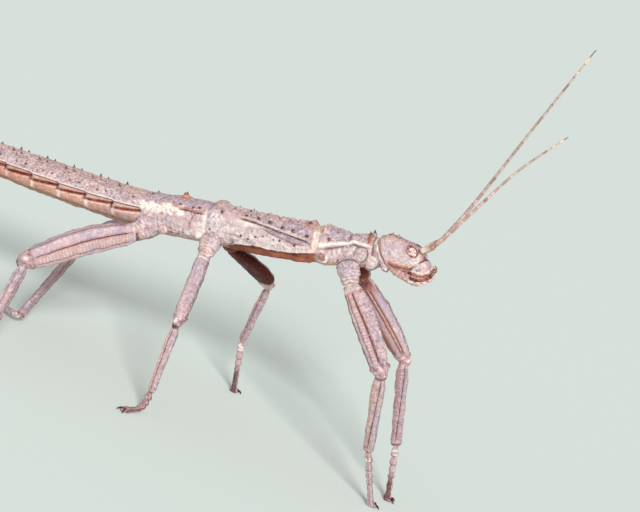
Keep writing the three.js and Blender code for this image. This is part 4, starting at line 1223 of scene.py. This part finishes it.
def eye_place(side, polar, around_eye):
    """Points of an eye in the insect's axes. polar is 0 at its outer pole."""
    long_way = EYE_HALF[0] * np.sin(polar) * np.cos(around_eye)
    high_way = EYE_HALF[2] * np.sin(polar) * np.sin(around_eye)
    along = EYE_ALONG + long_way * math.cos(EYE_TILT) + high_way * math.sin(EYE_TILT)
    up = EYE_UP - long_way * math.sin(EYE_TILT) + high_way * math.cos(EYE_TILT)
    out = EYE_OUT + EYE_HALF[1] * np.cos(polar) - EYE_LEAN * (up - EYE_UP)
    return from_head(along, side * out, up)


eye_finish, weave, shader = new_material("compound eye")
place = weave.place()
facets = weave.add("ShaderNodeTexVoronoi", {"Vector": place, "Scale": 9000.0}, feature="F1")
flecks = weave.add("ShaderNodeTexNoise", {"Vector": place, "Scale": 1900.0, "Detail": 2.0}).outputs["Fac"]
colour = weave.mix(weave.stepped(flecks, 0.47, 0.57), tone(242, 208, 202), tone(146, 76, 64))
colour = weave.mix(weave.stepped(weave.mark("rise"), 0.60, 0.74), colour, tone(84, 34, 30))
finish_shader(weave, shader, colour, 0.28, (facets.outputs["Distance"], 0.35, 0.00005))
shader["Coat Weight"].default_value = 0.4
polar, around_eye = np.meshgrid(np.linspace(EYE_CAP, math.pi - EYE_CAP, EYE_BANDS),
                                np.arange(EYE_AROUND) * math.tau / EYE_AROUND, indexing="ij")
rise = np.concatenate([(polar / (math.pi / 2)).clip(0, 1).ravel(), [0.0, 1.0]])
for side, word in SIDES:
    ball = closed_shell(f"eyeball_{word}", eye_place(side, polar, around_eye), {})
    set_values(ball.data, "rise", rise)
    finish_piece(ball, eye_finish, [f"eye_{word}"])

# ------------------------------------------------------------------------------------ mouthparts
# Biting jaws under the face plate: on each side a broad jaw with a cream rim and horny
# orange-brown edges, and below it the jointed palps on swollen bases; a thin lip hooks up in front.

JAW_STEPS, JAW_AROUND, JAW_CORNER = 40, 14, 0.95


def head_tube(name, points, radii, squash, side=1, **marks):
    """A tapered, closed tube through places in the head's own axes (along, out, up)."""
    line, _ = smooth_line([from_head(a, side * out, up) for a, out, up in points], JAW_STEPS)
    f, _, turn, paint = limb_grid(JAW_STEPS, even_turns(JAW_AROUND), 1.0)
    sizes = np.interp(f[:, 0], np.linspace(0, 1, len(radii)), radii)
    rings = tube(line, (0, 0, 1), side, (sizes, sizes * squash), turn, JAW_CORNER)
    place = rings()
    fleck = mottle(place, 0.35, 71)
    lift = 0.035 * mottle(place, 0.45, 73) + 0.015 * mottle(place, 0.2, 72)
    for mark, amount in marks.items():
        paint[mark] = paint[mark] + amount * (1 + 0.35 * fleck)
    paint(cream=0.45 * smooth(0.4, 1.5, fleck), umber=0.45 * smooth(0.6, 1.6, -fleck))
    paint(umber=0.7 * (1 - smooth(0.06, 0.22, np.abs(np.sin(np.radians(turn - 90))))) * (f < 0.93))
    return closed_shell(name, rings(lift), paint)


# points along (ahead, out, up), radii, squash across, and markings
JAW_PARTS = {
    "jaw": (((6.4, 1.45, -0.15), (7.5, 1.45, 0.3), (8.6, 1.05, 0.75)), (0.65, 0.95, 0.85, 0.4), 0.62,
            {"cream": 0.12, "blush": 0.15}),
    "jaw_rim": (((6.2, 1.65, -0.78), (7.4, 1.65, -0.86), (8.7, 1.35, -0.42), (9.25, 0.95, 0.1),
                 (9.5, 0.6, 0.85)), (0.18, 0.28, 0.28, 0.24, 0.12), 0.8, {"cream": 0.6, "rust": 0.22}),
    "jaw_edge": (((6.3, 1.5, -1.2), (7.5, 1.5, -1.32), (8.8, 1.2, -0.9), (9.45, 0.85, -0.15),
                  (9.75, 0.55, 0.5)), (0.20, 0.30, 0.30, 0.24, 0.12), 0.8, {"rust": 0.7, "umber": 0.25}),
    "jaw_ridge": (((6.6, 1.35, -1.65), (7.4, 1.4, -1.66), (8.4, 1.25, -1.4), (9.25, 0.9, -0.8)),
                  (0.15, 0.22, 0.22, 0.10), 0.8, {"cream": 0.4, "rust": 0.45}),
    "inner_jaw": (((6.2, 0.9, -1.7), (7.8, 0.95, -1.9), (9.0, 0.7, -1.5), (9.6, 0.4, -0.6)),
                  (0.45, 0.55, 0.5, 0.3), 0.9, {"rust": 0.85, "umber": 0.55}),
    "palp_base": (((2.6, 1.2, -1.7), (3.9, 1.35, -2.12), (5.2, 1.35, -2.25), (6.4, 1.3, -2.35)),
                  (0.40, 0.60, 0.66, 0.50), 0.85, {"blush": 0.5, "rust": 0.2, "grain": 0.4}),
    "palp_middle": (((5.9, 1.3, -2.55), (6.8, 1.35, -2.75), (7.8, 1.28, -2.72)), (0.28, 0.34, 0.34, 0.26),
                    0.9, {"blush": 0.4, "cream": 0.35, "rust": 0.15}),
    "palp_tip": (((7.6, 1.25, -2.68), (8.6, 1.15, -2.45), (9.5, 0.95, -1.8), (10.05, 0.8, -1.1)),
                 (0.24, 0.30, 0.27, 0.12), 0.9, {"cream": 0.5, "blush": 0.6, "rust": 0.15}),
    "throat_palp": (((4.2, 0.5, -2.5), (5.8, 0.6, -2.85), (7.4, 0.65, -3.0), (8.6, 0.6, -2.85)),
                    (0.45, 0.40, 0.32, 0.2), 0.9, {"cream": 0.4, "blush": 0.4}),
}
# the same for the two in the middle
MIDDLE_PARTS = {
    "upper_lip": (((8.9, 0.0, -1.0), (9.75, 0.0, -0.6), (10.12, 0.0, 0.1), (10.1, 0.0, 0.75),
                   (9.7, 0.0, 1.3)), (0.30, 0.24, 0.19, 0.15, 0.06), 2.0,
                  {"umber": 0.42, "rust": 0.3, "blush": 0.7}),
    "throat": (((1.6, 0.0, -1.3), (3.6, 0.0, -1.7), (6.0, 0.0, -1.6), (8.4, 0.0, -1.2)), (0.8, 1.1, 1.0, 0.5),
               1.3, {"rust": 0.5, "umber": 0.5}),
}
jaw_shells = [head_tube(f"{name}_{word}", *form, side=side, **painted)
              for name, (*form, painted) in JAW_PARTS.items() for side, word in SIDES]
jaw_shells += [head_tube(name, *form, **painted) for name, (*form, painted) in MIDDLE_PARTS.items()]
mouthparts = fused("mouth", jaw_shells)
ease_junctions(mouthparts.data)
finish_piece(mouthparts, cuticle_material("mouth cuticle"), ["mouthparts"])

# -------------------------------------------------------------------------------------- feelers
# Two thread-like feelers, each a thick root joint, a bead, and some thirty rings that grow longer
# and thinner to the tip, banded light and dark brown.

FEELERS = {
    "right": ((36.9, -1.5, 45.6), (38.95, -1.8, 48.0), (42.2, -2.5, 57.0), (46.7, -4.8, 72.7),
              (51.5, -7.0, 89.2)),
    "left": ((36.9, 1.5, 45.6), (38.8, 4.0, 48.6), (40.7, 12.0, 54.6), (43.2, 21.5, 61.9),
             (47.2, 33.0, 69.4)),
}
FEELER_STEPS, FEELER_AROUND = 420, 12
FEELER_RINGS = 34
ROOT_SHARE = 0.085  # of the length, before the rings begin

feeler_finish, weave, shader = new_material("feeler")
pale, dark, patch, height = grain_of(weave, 4200.0)
colour = weave.mix(patch, tone(186, 158, 150), tone(212, 182, 172))
for mark, tint in (("cream", tone(244, 222, 190)), ("rust", tone(168, 104, 80)), ("umber", tone(84, 50, 44))):
    colour = weave.mix(weave.mark(mark), colour, tint)
colour = weave.mix(weave.times(pale, 0.3), colour, CREAM)
finish_shader(weave, shader, colour, weave.stepped(dark, 0.0, 1.0, 0.45, 0.6), (height, 0.3, 0.00006))
for word, points in FEELERS.items():
    line, length = smooth_line(points, FEELER_STEPS)
    f, d, turn, paint = limb_grid(FEELER_STEPS, even_turns(FEELER_AROUND), length)
    radius = keyed(d, (0, 0.50), (0.5, 0.58), (2.3, 0.52), (2.75, 0.33), (3.1, 0.42), (3.9, 0.42),
                   (4.2, 0.31), (6.0, 0.32), (0.5 * length, 0.24), (0.9 * length, 0.17), (length, 0.08))
    count = np.maximum((f - ROOT_SHARE) / (1 - ROOT_SHARE), 0) ** 0.85 * FEELER_RINGS
    inside = count - np.floor(count)
    ringed = f > ROOT_SHARE
    radius = radius * (1 + 0.10 * (smooth(0.3, 0.9, inside) - smooth(0.9, 1.0, inside)) * ringed)
    rings = tube(line, (0, 1, 0.2), 1, (radius[:, 0], radius[:, 0]), turn, 1.0)()
    paint(umber=0.75 * hump(np.minimum(inside, 1 - inside), 0.07) * ringed,
          rust=0.45 * (np.floor(count) % 3 == 1) * ringed,
          cream=0.7 * within(d, 0.0, 1.0, 0.3) + 0.9 * within(f, 0.89, 0.965, 0.008))
    paint(umber=0.40 * (np.floor(count) % 5 == 3) * ringed,
          rust=0.7 * hump(d - 2.75, 0.22) + 0.5 * within(d, 1.8, 4.2, 0.3))
    # painted shade on the underside of the feeler's root
    below = (line[:, None, 2] - rings[..., 2]) / radius
    paint(umber=0.8 * smooth(0.45, 0.85, below) * within(d, 0.7, 2.6, 0.3))
    paint(umber=0.8 * smooth(0.965, 0.975, f) + 0.6 * hump(d - 2.75, 0.12))
    paint(umber=0.4 * smooth(0.4, 1.3, mottle(line[:, None, :] + 0 * turn[..., None], 0.5, 91)) * (d < 4))
    finish_piece(closed_shell(f"feeler_{word}", rings, paint), feeler_finish, [f"antenna_{word}"])

# ----------------------------------------------------------------------------------------- claws
# A pair of hooked, dark horny claws at the end of each foot, one to each side of the pad that is
# pressed flat on the floor.

CLAW_SPREAD = math.radians(34.0)
CLAW_STEPS, CLAW_AROUND = 18, 10
CLAW_ROOT_AHEAD, CLAW_ROOT_HEIGHT = 0.12, 0.42
# mm along the claw from its root, and up
CLAW_HOOK = ((0.0, 0.0), (0.55, 0.16), (1.05, 0.02), (1.38, -0.32))
claw_shells = []
for name, leg in LEGS.items():
    (x, y, _), ahead = toe(leg)
    for side in (-1, 1):
        cos, sin = math.cos(side * CLAW_SPREAD), math.sin(side * CLAW_SPREAD)
        way = np.array([ahead[0] * cos - ahead[1] * sin, ahead[0] * sin + ahead[1] * cos, 0.0])
        root = np.array([x, y, CLAW_ROOT_HEIGHT]) + CLAW_ROOT_AHEAD * way
        line, _ = smooth_line([root + out * way + (0, 0, up) for out, up in CLAW_HOOK], CLAW_STEPS)
        f, _, turn, paint = limb_grid(CLAW_STEPS, even_turns(CLAW_AROUND), 1.0)
        radius = 0.25 * (1 - f[:, 0]) ** 0.7 + 0.04
        paint(umber=0.6 + 0.4 * smooth(0.1, 0.5, f), rust=0.8 * (1 - smooth(0.2, 0.6, f)))
        rings = tube(line, (0, 0, 1), 1, (radius, radius * 0.8), turn, 1.0)()
        claw_shells.append(closed_shell(f"claw_{name}_{side}", above_floor(rings), paint))
finish_piece(fused("claws", claw_shells), cuticle_material("claw horn"))

# ----------------------------------------------------------------------------------- ovipositor
# Beak at the end of the abdomen: an upper and a lower horny valve, shut along a seam, with which
# the female pushes her eggs into the soil.

BEAK_LENGTH, BEAK_PITCH = 8.0, math.radians(11.0)
BEAK_STEPS, BEAK_AROUND = 80, 40
tail_end = np.array([np.interp(TAIL, walk, walk_x), 0.0, np.interp(TAIL, walk, walk_z)])
way = np.array([-math.cos(BEAK_PITCH), 0.0, -math.sin(BEAK_PITCH)])
line, _ = smooth_line([tail_end - 0.6 * way, tail_end + BEAK_LENGTH * way], BEAK_STEPS)
f, _, turn, paint = limb_grid(BEAK_STEPS, even_turns(BEAK_AROUND), BEAK_LENGTH)
widths = keyed(f[:, 0], (0, 1.75), (0.1, 1.8), (0.32, 1.5), (0.7, 0.9), (0.93, 0.5), (1, 0.2))
heights = keyed(f[:, 0], (0, 1.45), (0.1, 1.5), (0.32, 1.25), (0.7, 0.82), (0.93, 0.42), (1, 0.18))
rings = tube(line, (0, 0, 1), 1, (heights, widths), turn, 0.9)
place = rings()
lift = 0.03 * mottle(place, 0.8, 81) + 0.02 * mottle(place, 0.35, 82) + 0.10 * near(turn, 0, 10)
on_side = ridges(turn, widths[:, None])
for at in (95, 265):
    lift -= 0.20 * on_side(at, 0.12)
    paint(umber=on_side(at, 0.11))
paint(rust=0.5 + 0.3 * mottle(place, 1.5, 83), blush=0.7, grain=0.5, umber=0.55 * smooth(0.75, 1.0, f),
      cream=0.5 * hump(f - 0.06, 0.03))
finish_piece(closed_shell("beak", rings(lift), paint), cuticle, ["ovipositor"])

# ------------------------------------------------------------------------ floor, light and camera
# A wide, plain, pale grey-green floor, one broad soft sun from over the viewer's right shoulder,
# and an even pale sky. The camera looks along the insect's right side from a little above.

FLOOR_HALF = 12.0
floor_mesh = bpy.data.meshes.new("floor")
corners = [(x * FLOOR_HALF, y * FLOOR_HALF, 0.0) for x, y in ((-1, -1), (1, -1), (1, 1), (-1, 1))]
floor_mesh.from_pydata(corners, [], [(0, 1, 2, 3)])
floor = placed("floor", floor_mesh)
floor_finish, weave, shader = new_material("pale floor")
cloud = weave.add("ShaderNodeTexNoise", {"Vector": weave.place(), "Scale": 1.5, "Detail": 2.0})
colour = weave.mix(cloud.outputs["Fac"], tone(222, 231, 225), tone(224, 233, 227))
finish_shader(weave, shader, colour, 0.9)
shader["Specular IOR Level"].default_value = 0.1
floor.data.materials.append(floor_finish)

SUN_STRENGTH, SUN_SOFTNESS = 2.85, math.radians(16.0)
SUN_FROM = Vector((0.42, -0.86, 0.58))
SKY_STRENGTH = 0.46
sun_data = bpy.data.lights.new("sun", "SUN")
sun_data.energy = SUN_STRENGTH
sun_data.angle = SUN_SOFTNESS
placed("sun", sun_data).rotation_euler = SUN_FROM.to_track_quat("Z", "Y").to_euler()
world = bpy.data.worlds.new("pale sky")
world.use_nodes = True
sky = world.node_tree.nodes["Background"].inputs
sky["Color"].default_value = (1.0, 1.0, 1.0, 1.0)
sky["Strength"].default_value = SKY_STRENGTH
bpy.context.scene.world = world
bpy.context.scene.view_settings.view_transform = "Standard"

AZIMUTH, ELEVATION, ROLL = (math.radians(angle) for angle in (14.0, 13.5, 22.3))
CAMERA_AT = Vector((0.10457, -0.30788, 0.11249))
SENSOR_WIDTH, FOCAL_LENGTH = 36.0, 103.95
NEAREST, FARTHEST = 0.01, 60.0
level_right = Vector((math.cos(AZIMUTH), math.sin(AZIMUTH), 0.0))
level_up = Vector((-math.sin(AZIMUTH) * math.sin(ELEVATION), math.cos(AZIMUTH) * math.sin(ELEVATION),
                   math.cos(ELEVATION)))
right = level_right * math.cos(ROLL) + level_up * math.sin(ROLL)
up = level_up * math.cos(ROLL) - level_right * math.sin(ROLL)
lens = bpy.data.cameras.new("camera")
lens.sensor_fit = "HORIZONTAL"
lens.sensor_width = SENSOR_WIDTH
lens.lens = FOCAL_LENGTH
lens.clip_start = NEAREST
lens.clip_end = FARTHEST
camera = placed("camera", lens)
axes = Matrix((right, up, right.cross(up))).transposed().to_4x4()
camera.matrix_world = Matrix.Translation(CAMERA_AT) @ axes
bpy.context.scene.camera = camera
